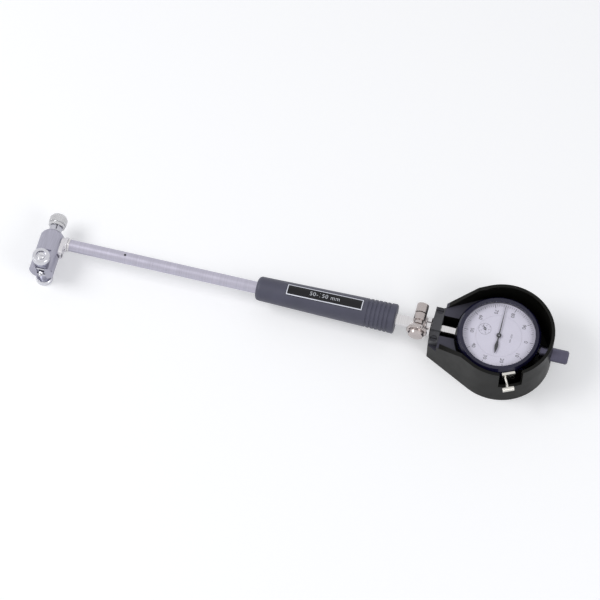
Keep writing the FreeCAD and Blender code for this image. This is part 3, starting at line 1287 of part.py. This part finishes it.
def main():
    os.makedirs("parts", exist_ok=True)
    shapes = {name: build() for name, build in NODES.items()}
    whole = FreeCAD.BoundBox()
    for shape in shapes.values():
        whole.add(shape.optimalBoundingBox(False, False))
    shift = V(-(whole.XMin + whole.XMax) / 2, -(whole.YMin + whole.YMax) / 2, -whole.ZMin)
    for name, shape in shapes.items():
        shape.translate(shift)
        shape.exportStep("parts/" + name + ".step")
    print("origin moved by", round(shift.x, 4), round(shift.y, 4), round(shift.z, 4))
    print("size", round(whole.XLength, 3), round(whole.YLength, 3), round(whole.ZLength, 3))


main()
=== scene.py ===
"""Looks of the dial bore gauge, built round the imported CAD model: materials, dial print, label and light."""
import math

import bpy
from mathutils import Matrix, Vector


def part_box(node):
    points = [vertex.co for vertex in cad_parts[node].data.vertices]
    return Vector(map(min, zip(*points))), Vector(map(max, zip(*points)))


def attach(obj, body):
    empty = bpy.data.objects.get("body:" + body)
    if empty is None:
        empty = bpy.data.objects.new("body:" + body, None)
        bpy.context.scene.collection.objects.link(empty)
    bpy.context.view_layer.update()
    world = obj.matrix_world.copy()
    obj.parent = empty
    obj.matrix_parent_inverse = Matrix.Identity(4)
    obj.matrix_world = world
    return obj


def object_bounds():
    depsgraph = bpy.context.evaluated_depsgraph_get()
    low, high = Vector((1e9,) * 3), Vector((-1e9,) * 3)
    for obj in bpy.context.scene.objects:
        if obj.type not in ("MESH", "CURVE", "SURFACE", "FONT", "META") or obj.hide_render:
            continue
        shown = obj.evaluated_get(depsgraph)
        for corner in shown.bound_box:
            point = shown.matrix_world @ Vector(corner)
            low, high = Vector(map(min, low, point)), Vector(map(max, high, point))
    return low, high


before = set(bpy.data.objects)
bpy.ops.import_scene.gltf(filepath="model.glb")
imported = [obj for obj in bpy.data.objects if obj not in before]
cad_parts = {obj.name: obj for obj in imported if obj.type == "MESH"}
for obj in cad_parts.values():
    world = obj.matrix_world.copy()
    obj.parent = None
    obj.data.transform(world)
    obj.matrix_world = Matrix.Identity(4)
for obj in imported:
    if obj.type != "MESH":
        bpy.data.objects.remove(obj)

MM = 0.001
cad_low, cad_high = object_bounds()


def middle(node):
    low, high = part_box(node)
    return (low + high) / 2


def srgb(red, green, blue):
    """A linear colour from 0 to 255 display values."""
    def linear(v):
        v /= 255
        return v / 12.92 if v <= 0.04045 else ((v + 0.055) / 1.055) ** 2.4
    return (linear(red), linear(green), linear(blue), 1.0)


# ---------------------------------------------------------------- materials
class Finish:
    """A Principled material and short calls for its nodes."""

    def __init__(self, name, colour, roughness, metallic=0.0):
        self.mat = bpy.data.materials.new(name)
        self.mat.use_nodes = True
        self.tree = self.mat.node_tree
        self.shader = self.tree.nodes["Principled BSDF"]
        self.colour = colour
        self.shader.inputs["Base Color"].default_value = colour
        self.shader.inputs["Roughness"].default_value = roughness
        self.shader.inputs["Metallic"].default_value = metallic

    def node(self, kind, **values):
        made = self.tree.nodes.new(kind)
        for key, value in values.items():
            setattr(made, key, value)
        return made

    def link(self, source, target):
        self.tree.links.new(source, target)

    def value(self, operation, first, second=None, clamp=False):
        made = self.node("ShaderNodeMath", operation=operation, use_clamp=clamp)
        for socket, item in zip(made.inputs, (first, second)):
            if item is None:
                continue
            if isinstance(item, (int, float)):
                socket.default_value = item
            else:
                self.link(item, socket)
        return made.outputs[0]

    def vector(self, operation, first, second=None):
        made = self.node("ShaderNodeVectorMath", operation=operation)
        for socket, item in zip(made.inputs, (first, second)):
            if item is None:
                continue
            if isinstance(item, (tuple, Vector)):
                socket.default_value = item
            else:
                self.link(item, socket)
        return made

    def place(self):
        return self.node("ShaderNodeTexCoord").outputs["Object"]

    def noise(self, vector, scale, detail=2.0, rough=0.5):
        made = self.node("ShaderNodeTexNoise")
        self.link(vector, made.inputs["Vector"])
        made.inputs["Scale"].default_value = scale
        made.inputs["Detail"].default_value = detail
        made.inputs["Roughness"].default_value = rough
        return made.outputs["Fac"]

    def spread(self, source, low, high, out_low, out_high):
        made = self.node("ShaderNodeMapRange", clamp=True)
        self.link(source, made.inputs["Value"])
        for key, item in (("From Min", low), ("From Max", high), ("To Min", out_low), ("To Max", out_high)):
            made.inputs[key].default_value = item
        return made.outputs["Result"]

    def blend(self, factor, first, second):
        made = self.node("ShaderNodeMix", data_type="RGBA")
        self.link(factor, made.inputs["Factor"])
        for socket, item in ((made.inputs[6], first), (made.inputs[7], second)):
            if isinstance(item, tuple):
                socket.default_value = item
            else:
                self.link(item, socket)
        return made.outputs[2]

    def shade(self, amount):
        """The finish's colour made darker or lighter."""
        return tuple(min(1.0, c * amount) for c in self.colour[:3]) + (1.0,)

    def mottle(self, cloud, dark, light):
        """The finish's colour wandering between two shades with a cloudy noise."""
        return self.blend(self.spread(cloud, 0.3, 0.7, 0.0, 1.0), self.shade(dark), self.shade(light))

    def rough(self, cloud, low, high):
        self.link(self.spread(cloud, 0.3, 0.7, low, high), self.shader.inputs["Roughness"])

    def paint(self, colour):
        self.link(colour, self.shader.inputs["Base Color"])

    def seen(self):
        """1 for what the camera sees directly, in a reflection or through glass, else 0."""
        path = self.node("ShaderNodeLightPath")
        either = self.value("MAXIMUM", path.outputs["Is Camera Ray"], path.outputs["Is Glossy Ray"])
        return self.value("MAXIMUM", either, path.outputs["Is Transmission Ray"])


def edges(finish, radius):
    """A rounded-edge normal, and how far each point is bent by it (0 on flats)."""
    bevel = finish.node("ShaderNodeBevel", samples=6)
    bevel.inputs["Radius"].default_value = radius
    normal = finish.node("ShaderNodeNewGeometry").outputs["Normal"]
    facing = finish.vector("DOT_PRODUCT", bevel.outputs[0], normal).outputs["Value"]
    return bevel.outputs[0], finish.spread(facing, 0.99, 0.80, 0.0, 1.0)


def bump(finish, height, distance, normal=None):
    """Relief of a given depth in metres, laid over the rounded-edge normal."""
    made = finish.node("ShaderNodeBump")
    made.inputs["Distance"].default_value = distance
    made.inputs["Strength"].default_value = 1.0
    finish.link(height, made.inputs["Height"])
    if normal is not None:
        finish.link(normal, made.inputs["Normal"])
    finish.link(made.outputs[0], finish.shader.inputs["Normal"])


def around(finish, axis, centre):
    """Coordinates for tool marks left by turning: distance from the axis, and place along it."""
    moved = finish.vector("SUBTRACT", finish.place(), centre).outputs[0]
    keep = {"x": (0, 1, 1), "y": (1, 0, 1), "z": (1, 1, 0)}[axis]
    flat = finish.vector("MULTIPLY", moved, keep).outputs[0]
    away = finish.vector("LENGTH", flat).outputs["Value"]
    split = finish.node("ShaderNodeSeparateXYZ")
    finish.link(moved, split.inputs[0])
    joined = finish.node("ShaderNodeCombineXYZ")
    finish.link(away, joined.inputs["X"])
    finish.link(split.outputs["xyz".index(axis)], joined.inputs["Y"])
    return joined.outputs[0]


def metal(name, colour, roughness, marks, scale=2600.0, depth=0.004, edge=0.15, smudge=0.05, tint=0.10):
    """Metal with fine tool marks. marks is ("x", centre) for turned work or a stretch for brushed work."""
    finish = Finish(name, colour, roughness, 1.0)
    if isinstance(marks[0], str):
        lines = around(finish, *marks)
    else:
        lines = finish.vector("MULTIPLY", finish.place(), marks).outputs[0]
    grain = finish.noise(lines, scale, 3.0, 0.6)
    cloud = finish.noise(finish.place(), 90.0, 3.0, 0.6)
    normal, rim = edges(finish, edge * MM)
    tone = finish.mottle(grain, 1 - tint, 1 + tint)
    # Edges lightened by a quarter: a painted highlight along the rounded edges.
    finish.paint(finish.blend(rim, tone, finish.shade(1.25)))
    rough = finish.spread(cloud, 0.35, 0.7, roughness - smudge, roughness + smudge)
    fine = finish.value("MULTIPLY", grain, 0.12)
    finish.link(finish.value("ADD", rough, finish.value("SUBTRACT", fine, 0.06), True),
                finish.shader.inputs["Roughness"])
    bump(finish, grain, depth * MM, normal)
    return finish.mat


def moulded(name, colour, roughness, grain, size, edge, rim_tone):
    """Moulded plastic: spark-eroded grain, edges lightened partly by wear and partly as a painted highlight,
    and faint handling marks.
    """
    finish = Finish(name, colour, roughness)
    place = finish.place()
    pits = finish.noise(place, size, 2.0, 0.55)
    cloud = finish.noise(place, 60.0, 4.0, 0.6)
    normal, rim = edges(finish, edge * MM)
    tone = finish.mottle(cloud, 0.9, 1.12)
    # Edges lightened toward rim_tone where the cloud allows: partly wear, partly a painted highlight along the
    # edges.
    edge_wear_and_highlight = finish.value("MULTIPLY", rim, finish.spread(cloud, 0.35, 0.65, 0.35, 1.0))
    finish.paint(finish.blend(edge_wear_and_highlight, tone, finish.shade(rim_tone)))
    finish.rough(cloud, roughness - 0.05, roughness + 0.07)
    bump(finish, pits, grain * MM, normal)
    return finish.mat


def guard_moulding(name, colour, web_top_reflection_colour, roughness):
    """The guard's black shell; the upward faces of the webs at its flat end are painted a lighter slate, a
    painted reflection of the sky.
    """
    finish = Finish(name, colour, roughness)
    finish.shader.inputs["Specular IOR Level"].default_value = 0.15
    place = finish.place()
    split = finish.node("ShaderNodeSeparateXYZ")
    finish.link(place, split.inputs[0])
    upward = finish.node("ShaderNodeSeparateXYZ")
    finish.link(finish.node("ShaderNodeNewGeometry").outputs["True Normal"], upward.inputs[0])
    # Mask of the upward faces of the low webs before the crystal's middle: they take the lighter slate, a
    # painted sky reflection on their tops.
    low = finish.value("LESS_THAN", split.outputs["Z"], WEB_TOP)
    near = finish.value("LESS_THAN", split.outputs["X"], middle("crystal").x)
    flat = finish.value("GREATER_THAN", upward.outputs["Z"], 0.7)
    web_top_reflection_mask = finish.value("MULTIPLY", finish.value("MULTIPLY", low, near), flat)
    pits = finish.noise(place, 3200.0, 2.0, 0.55)
    cloud = finish.noise(place, 60.0, 4.0, 0.6)
    normal, rim = edges(finish, 0.3 * MM)
    base = finish.blend(web_top_reflection_mask, colour, web_top_reflection_colour)
    tone = finish.blend(finish.value("MULTIPLY", finish.spread(cloud, 0.3, 0.7, 0.0, 1.0), 0.2), base,
                        finish.shade(2.0))
    # Edges lightened five-fold where the cloud allows: partly wear, partly a painted highlight along the top
    # edges.
    edge_wear_and_highlight = finish.value("MULTIPLY", rim, finish.spread(cloud, 0.35, 0.65, 0.3, 0.9))
    finish.paint(finish.blend(edge_wear_and_highlight, tone, finish.shade(5.0)))
    finish.rough(cloud, roughness - 0.05, roughness + 0.07)
    bump(finish, pits, 0.010 * MM, normal)
    return finish.mat


def enamel(name, colour, roughness, coat=0.6, ripple=0.004, edge=0.3, rim_tone=1.4, gloss=0.5):
    """Smooth gloss finish under a clear coat with a slight orange peel."""
    finish = Finish(name, colour, roughness)
    finish.shader.inputs["Coat Weight"].default_value = coat
    finish.shader.inputs["Coat Roughness"].default_value = 0.08
    finish.shader.inputs["Specular IOR Level"].default_value = gloss
    place = finish.place()
    peel = finish.noise(place, 900.0, 1.0, 0.5)
    cloud = finish.noise(place, 120.0, 3.0, 0.6)
    normal, rim = edges(finish, edge * MM)
    # Edges lightened toward rim_tone: a painted highlight along the rounded edges.
    finish.paint(finish.blend(rim, finish.mottle(cloud, 0.92, 1.08), finish.shade(rim_tone)))
    finish.rough(cloud, roughness - 0.03, roughness + 0.05)
    bump(finish, peel, ripple * MM, normal)
    return finish.mat


def printed(name, colour, roughness, speck=0.04):
    """Flat printed or painted sheet: dial faces and ink."""
    finish = Finish(name, colour, roughness)
    fibre = finish.noise(finish.place(), 5200.0, 2.0, 0.6)
    cloud = finish.noise(finish.place(), 140.0, 3.0, 0.6)
    finish.paint(finish.mottle(cloud, 1 - speck, 1 + speck))
    finish.rough(fibre, roughness - 0.05, roughness + 0.05)
    bump(finish, fibre, 0.002 * MM)
    return finish.mat


def floor_paper():
    """Pale floor that looks white to the camera and in reflections, and keeps its shadow."""
    finish = Finish("floor_pale", (0.90, 0.90, 0.91, 1.0), 0.7)
    finish.shader.inputs["Emission Color"].default_value = (1, 1, 1, 1)
    lift = finish.value("MULTIPLY", finish.seen(), FLOOR_LIFT)
    finish.link(lift, finish.shader.inputs["Emission Strength"])
    return finish.mat


def thin_glass(name):
    """A clear flat crystal: see-through, mirrored more at a glancing angle, with faint smears."""
    finish = Finish(name, (1, 1, 1, 1), 0.03)
    clear = finish.node("ShaderNodeBsdfTransparent")
    clear.inputs["Color"].default_value = (0.985, 0.985, 0.995, 1)
    gloss = finish.node("ShaderNodeBsdfGlossy")
    smear = finish.noise(finish.place(), 160.0, 4.0, 0.65)
    finish.link(finish.spread(smear, 0.4, 0.7, 0.02, 0.06), gloss.inputs["Roughness"])
    glance = finish.node("ShaderNodeLayerWeight").outputs["Facing"]
    glance = finish.value("MULTIPLY", finish.value("POWER", glance, 5.0), 0.6)
    outside = finish.value("SUBTRACT", 1.0, finish.node("ShaderNodeNewGeometry").outputs["Backfacing"])
    mix = finish.node("ShaderNodeMixShader")
    finish.link(finish.value("MULTIPLY", finish.value("ADD", glance, 0.035), outside), mix.inputs[0])
    finish.link(clear.outputs[0], mix.inputs[1])
    finish.link(gloss.outputs[0], mix.inputs[2])
    finish.link(mix.outputs[0], finish.tree.nodes["Material Output"].inputs["Surface"])
    return finish.mat


# turning axes of the turned pieces, and the height of the guard's webs
TUBE = ("x", middle("main_tube"))
HEAD = ("y", middle("anvil_nut"))
ROLLER = ("z", middle("guide_roller_front"))
CLAMP = ("y", middle("clamp_screw"))
DIAL = ("z", middle("crystal"))
WEB_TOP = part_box("guard_block")[1].z + 0.1 * MM
BRUSHED = (30.0, 1.0, 30.0)     # marks drawn out along the head
FLOOR_LIFT = 0.26               # added to the floor's brightness where it is seen

finishes = {
    "tube": metal("tube_satin", srgb(184, 181, 195), 0.34, TUBE, 2200.0),
    "block": metal("head_satin", srgb(166, 165, 178), 0.38, BRUSHED, 90.0, 0.006),
    "carriage": metal("carriage_steel", srgb(176, 176, 190), 0.38, BRUSHED, 90.0, 0.005),
    "nut": metal("nut_plated", srgb(200, 200, 202), 0.26, HEAD, 2600.0),
    "collet": metal("collet_steel", srgb(188, 188, 196), 0.30, HEAD, 2600.0),
    "roller": metal("roller_turned", srgb(206, 206, 212), 0.24, ROLLER, 2400.0, 0.006),
    "screw": metal("polished_steel", srgb(214, 214, 218), 0.16, ROLLER, 2800.0, 0.003),
    "flange": metal("flange_chrome", srgb(214, 212, 216), 0.20, TUBE, 2400.0, 0.004),
    "chrome": metal("chrome_turned", srgb(212, 210, 211), 0.16, TUBE, 2400.0, 0.003),
    "clamp": metal("clamp_nickel", srgb(184, 176, 174), 0.22, CLAMP, 2400.0, 0.004),
    "clamp_ring": metal("clamp_ring_nickel", srgb(178, 170, 168), 0.28, TUBE, 2000.0, 0.004),
    "dark": metal("blackened_steel", srgb(62, 62, 66), 0.38, DIAL, 2400.0, 0.004),
    "wire": metal("spring_wire", srgb(150, 150, 156), 0.30, TUBE, 2400.0, 0.002),
    "movement": metal("movement_steel", srgb(176, 176, 182), 0.26, TUBE, 2400.0, 0.003),
    "brass": metal("movement_brass", srgb(206, 172, 104), 0.26, (1.0, 40.0, 40.0), 80.0, 0.003),
    "contact": metal("contact_steel", srgb(190, 190, 194), 0.12, HEAD, 2600.0, 0.002),
    "cap": metal("cap_grey", srgb(92, 90, 106), 0.36, TUBE, 2000.0, 0.005),
    "clamp_bright": metal("clamp_bright", srgb(212, 210, 204), 0.20, (1.0, 1.0, 30.0), 90.0, 0.002),
    "grip": moulded("grip_slate", srgb(74, 74, 90), 0.46, 0.010, 4200.0, 0.25, 1.25),
    # The second colour is the painted sky reflection on the webs' upward faces, not a colour of the moulding.
    "guard": guard_moulding("guard_black", srgb(12, 12, 10), srgb(76, 75, 86), 0.38),
    "guard_block": moulded("guard_block_grey", srgb(66, 66, 70), 0.44, 0.012, 3200.0, 0.25, 1.6),
    "case": enamel("case_enamel", srgb(22, 22, 30), 0.25),
    "bezel": enamel("bezel_navy", srgb(18, 17, 46), 0.26, 0.22, 0.003, 0.3, 1.6, 0.35),
    "label": enamel("label_black", srgb(8, 8, 13), 0.34, 0.12, 0.002, 0.1, 1.2, 0.25),
    "silver": metal("label_silver", srgb(214, 216, 226), 0.30, (1.0, 30.0, 30.0), 60.0, 0.002),
    "face": printed("dial_face", srgb(240, 236, 247), 0.42, 0.012),
    "ink": printed("dial_ink", srgb(18, 18, 24), 0.5, 0.08),
    "white_ink": printed("label_ink", srgb(206, 208, 214), 0.5, 0.05),
    "hand": enamel("pointer_black", srgb(20, 20, 28), 0.30, 0.3, 0.001, 0.05, 1.3),
    "crystal": thin_glass("crystal_clear"),
}

USES = {
    "head_body": "block", "contact_plunger": "contact", "contact_ball": "contact",
    "bell_crank": "movement", "crank_pin": "movement", "guide_carriage": "carriage",
    "guide_springs": "wire", "guide_stop_pins": "screw", "guide_roller_front": "roller",
    "guide_roller_rear": "roller", "roller_screw_front": "screw", "roller_screw_rear": "screw",
    "anvil_collet": "collet", "anvil_nut": "nut", "head_flange": "flange", "flange_screw": "dark",
    "lock_ring": "chrome", "main_tube": "tube", "rod_bush_head": "brass", "rod_bush_middle": "brass",
    "rod_bush_grip": "brass", "tube_pin": "dark", "push_rod": "movement", "push_rod_tip": "movement",
    "push_rod_collar": "brass", "push_rod_spring": "wire", "grip_sleeve": "grip",
    "label_plate": "label", "clamp_sleeve": "chrome", "clamp_ring": "clamp_ring",
    "clamp_screw": "clamp", "guard_shell": "guard", "guard_block": "guard_block",
    "guard_screws": "dark", "dial_case": "case", "back_cover": "case", "back_cover_screws": "screw",
    "stem": "chrome", "spindle": "movement", "guide_pin": "movement", "guide_fork": "brass",
    "return_spring": "wire", "spring_post": "brass", "spindle_contact": "movement",
    "spindle_cap": "cap", "bezel": "bezel", "crystal": "crystal", "dial_ring": "face",
    "dial_centre": "face", "main_pointer": "hand", "counter_pointer": "hand",
    "centre_arbor": "movement", "wheel_arbor": "movement", "take_up_wheel": "brass",
    "hairspring": "wire", "lower_plate": "brass", "upper_plate": "brass", "pillars": "brass",
    "bezel_clamp_bracket": "clamp_bright", "bezel_clamp_screw": "clamp_bright",
}
for node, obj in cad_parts.items():
    obj.data.materials.clear()
    obj.data.materials.append(finishes[USES[node]])


# ---------------------------------------------------------------- small meshes
def piece(name, points, faces, material, body):
    """A new mesh piece in the row frame that rides on a CAD body."""
    mesh = bpy.data.meshes.new(name)
    mesh.from_pydata(points, [], faces)
    mesh.update()
    obj = bpy.data.objects.new(name, mesh)
    bpy.context.scene.collection.objects.link(obj)
    obj.data.materials.append(material)
    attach(obj, body)
    return obj


def letters(words, size, spread=1.0):
    """Flat (points, faces) of words centred on the origin, x to the right and y up, in metres."""
    curve = bpy.data.curves.new("words", "FONT")
    curve.body = words
    curve.size = size
    curve.align_x = "CENTER"
    curve.align_y = "CENTER"
    curve.resolution_u = 3
    curve.space_character = spread
    holder = bpy.data.objects.new("words", curve)
    bpy.context.scene.collection.objects.link(holder)
    bpy.context.view_layer.update()
    mesh = bpy.data.meshes.new_from_object(holder.evaluated_get(bpy.context.evaluated_depsgraph_get()))
    points = [(v.co.x, v.co.y) for v in mesh.vertices]
    faces = [tuple(p.vertices) for p in mesh.polygons]
    bpy.data.objects.remove(holder)
    bpy.data.meshes.remove(mesh)
    bpy.data.curves.remove(curve)
    return points, faces


class Print:
    """Ink gathered on one flat dial: everything is placed by radius and clock angle from 12 o'clock (+X)."""

    def __init__(self, centre, height):
        self.centre = centre
        self.height = height
        self.points = []
        self.faces = []

    def spot(self, right, up):
        """Row-frame place of a point right of and above a centre, seen with 12 o'clock up."""
        return (self.centre[0] + up, self.centre[1] - right, self.height)

    def shape(self, outline):
        start = len(self.points)
        self.points += [self.spot(*p) for p in outline]
        self.faces.append(tuple(range(start, len(self.points))))

    def tick(self, degrees, inner, outer, width, right=0.0, up=0.0):
        a = math.radians(degrees)
        along = Vector((math.sin(a), math.cos(a)))
        side = Vector((math.cos(a), -math.sin(a))) * (width / 2)
        base = Vector((right, up))
        self.shape([base + along * inner - side, base + along * inner + side,
                    base + along * outer + side, base + along * outer - side])

    def circle(self, radius, width, right=0.0, up=0.0, steps=72):
        start = len(self.points)
        for i in range(steps):
            a = 2 * math.pi * i / steps
            for r in (radius - width / 2, radius + width / 2):
                self.points.append(self.spot(right + r * math.sin(a), up + r * math.cos(a)))
        for i in range(steps):
            j = (i + 1) % steps
            self.faces.append((start + 2 * i, start + 2 * j, start + 2 * j + 1, start + 2 * i + 1))

    def words(self, text, size, right, up, spread=1.0):
        points, faces = letters(text, size, spread)
        start = len(self.points)
        self.points += [self.spot(right + x, up + y) for x, y in points]
        self.faces += [tuple(start + i for i in f) for f in faces]


# ---------------------------------------------------------------- dial print
TICK_OUTER = 24.5
TICKS = {0: (21.6, 0.30), 5: (22.3, 0.22)}      # inner end and width, by last digit
FINE_TICK = (22.9, 0.15)
NUMBER_SIZE = 3.6 * MM
NUMBER_R = 18.9 * MM
COUNTER_R = 4.3 * MM
COUNTER_TICK_R = 3.5 * MM
COUNTER_NUMBER_R = 2.7 * MM
COUNTER_NUMBER_SIZE = 1.3 * MM
COUNTER_LINE = 0.14 * MM

dial = middle("crystal")
ink_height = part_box("dial_ring")[1].z + 0.02 * MM
scale_print = Print(dial, ink_height)
for step in range(100):
    inner, width = TICKS.get(step % 10, FINE_TICK)
    scale_print.tick(360 / 100 * step, inner * MM, TICK_OUTER * MM, width * MM)
for step in range(10):
    a = math.radians(36 * step)
    scale_print.words(str(10 * step), NUMBER_SIZE, NUMBER_R * math.sin(a), NUMBER_R * math.cos(a))
piece("dial_scale_print", scale_print.points, scale_print.faces, finishes["ink"], "bezel")

counter = middle("wheel_arbor")
small = (dial[1] - counter[1], counter[0] - dial[0])
centre_print = Print(dial, ink_height)
centre_print.circle(COUNTER_R, COUNTER_LINE, *small)
for step in range(10):
    centre_print.tick(36 * step, COUNTER_TICK_R, COUNTER_R, COUNTER_LINE, *small)
for step in range(0, 10, 2):
    a = math.radians(-36 * step)
    centre_print.words(str(step), COUNTER_NUMBER_SIZE, small[0] + COUNTER_NUMBER_R * math.sin(a),
                       small[1] + COUNTER_NUMBER_R * math.cos(a))
centre_print.words("0.01 mm", 1.9 * MM, 0.0, 8.4 * MM)
piece("dial_centre_print", centre_print.points, centre_print.faces, finishes["ink"], "gauge")

# ---------------------------------------------------------------- label on the grip
label_low, label_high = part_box("label_plate")
grip_low, grip_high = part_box("grip_sleeve")
GRIP_SMALL = 8.5 * MM
GRIP_LARGE = 10.5 * MM
LABEL_LIFT = 0.1 * MM
MARGIN = 0.25 * MM
BAND = 0.65 * MM
INK_LIFT = 0.03 * MM
axis_point = middle("main_tube")


def on_label(x, y, lift):
    """A point above the tapered grip, where the label lies."""
    share = (x - grip_low.x) / (grip_high.x - grip_low.x)
    radius = GRIP_SMALL + (GRIP_LARGE - GRIP_SMALL) * share + LABEL_LIFT + lift
    return (x, axis_point.y + y, axis_point.z + math.sqrt(radius ** 2 - y ** 2))


def label_strip(x0, x1, y0, y1, lift, points, faces, steps=8):
    start = len(points)
    for i in range(steps + 1):
        y = y0 + (y1 - y0) * i / steps
        points += [on_label(x0, y, lift), on_label(x1, y, lift)]
    faces += [(start + 2 * i, start + 2 * i + 1, start + 2 * i + 3, start + 2 * i + 2) for i in range(steps)]


points, faces = [], []
half = (label_high.y - label_low.y) / 2 - MARGIN
left, right = label_low.x + MARGIN, label_high.x - MARGIN
inner = half - BAND
for x0, x1, y0, y1 in ((left, right, inner, half), (left, right, -half, -inner),
                       (left, left + BAND, -inner, inner), (right - BAND, right, -inner, inner)):
    label_strip(x0, x1, y0, y1, INK_LIFT, points, faces)
piece("label_border", points, faces, finishes["silver"], "gauge")

words, word_faces = letters("50-150 mm", 4.3 * MM, 1.1)
mark_x = (label_low.x + label_high.x) / 2
points = [on_label(mark_x + x, y, INK_LIFT) for x, y in words]
piece("label_range_mark", points, word_faces, finishes["white_ink"], "gauge")

# ---------------------------------------------------------------- stage, light and camera
floor_mesh = bpy.data.meshes.new("floor")
floor_mesh.from_pydata([(-4, -4, 0), (4, -4, 0), (4, 4, 0), (-4, 4, 0)], [], [(0, 1, 2, 3)])
floor = bpy.data.objects.new("floor", floor_mesh)
bpy.context.scene.collection.objects.link(floor)
floor.data.materials.append(floor_paper())


def studio_world():
    """Soft even light on the object, and a white surround where the camera sees it."""
    world = bpy.data.worlds.new("studio")
    bpy.context.scene.world = world
    world.use_nodes = True
    tree = world.node_tree
    light = tree.nodes["Background"]
    light.inputs["Color"].default_value = (0.94, 0.96, 1.0, 1)
    light.inputs["Strength"].default_value = 0.45
    surround = tree.nodes.new("ShaderNodeBackground")
    surround.inputs["Color"].default_value = (0.96, 0.96, 0.97, 1)
    surround.inputs["Strength"].default_value = 1.0
    path = tree.nodes.new("ShaderNodeLightPath")
    seen = path.outputs["Is Camera Ray"]
    for ray in ("Is Glossy Ray", "Is Transmission Ray"):
        either = tree.nodes.new("ShaderNodeMath")
        either.operation = "MAXIMUM"
        tree.links.new(seen, either.inputs[0])
        tree.links.new(path.outputs[ray], either.inputs[1])
        seen = either.outputs[0]
    mix = tree.nodes.new("ShaderNodeMixShader")
    tree.links.new(seen, mix.inputs[0])
    tree.links.new(light.outputs[0], mix.inputs[1])
    tree.links.new(surround.outputs[0], mix.inputs[2])
    tree.links.new(mix.outputs[0], tree.nodes["World Output"].inputs["Surface"])


studio_world()
centre = (cad_low + cad_high) / 2


def lamp(name, place, size, power):
    """A soft rectangular lamp aimed at the object's middle; place is from there, in metres."""
    data = bpy.data.lights.new(name, "AREA")
    data.shape = "RECTANGLE"
    data.size, data.size_y = size
    data.energy = power
    obj = bpy.data.objects.new(name, data)
    obj.location = centre + Vector(place)
    obj.rotation_euler = (-Vector(place)).to_track_quat("-Z", "Y").to_euler()
    bpy.context.scene.collection.objects.link(obj)


lamp("key", (-1.05, -0.25, 1.15), (0.8, 0.6), 9.0)
lamp("fill", (0.95, -0.5, 0.9), (0.6, 0.6), 3.5)

AZIMUTH = math.radians(14.4)
ELEVATION = math.radians(62.0)
DISTANCE = 1.9
camera_data = bpy.data.cameras.new("camera")
camera_data.lens = 164
camera_data.sensor_width = 36
camera_data.clip_end = 20
camera = bpy.data.objects.new("camera", camera_data)
bpy.context.scene.collection.objects.link(camera)
back = Vector((math.sin(AZIMUTH) * math.cos(ELEVATION), -math.cos(AZIMUTH) * math.cos(ELEVATION),
               math.sin(ELEVATION)))
camera.location = centre + back * DISTANCE
camera.rotation_euler = (-back).to_track_quat("-Z", "Y").to_euler()
bpy.context.scene.camera = camera
bpy.context.scene.view_settings.view_transform = "Standard"
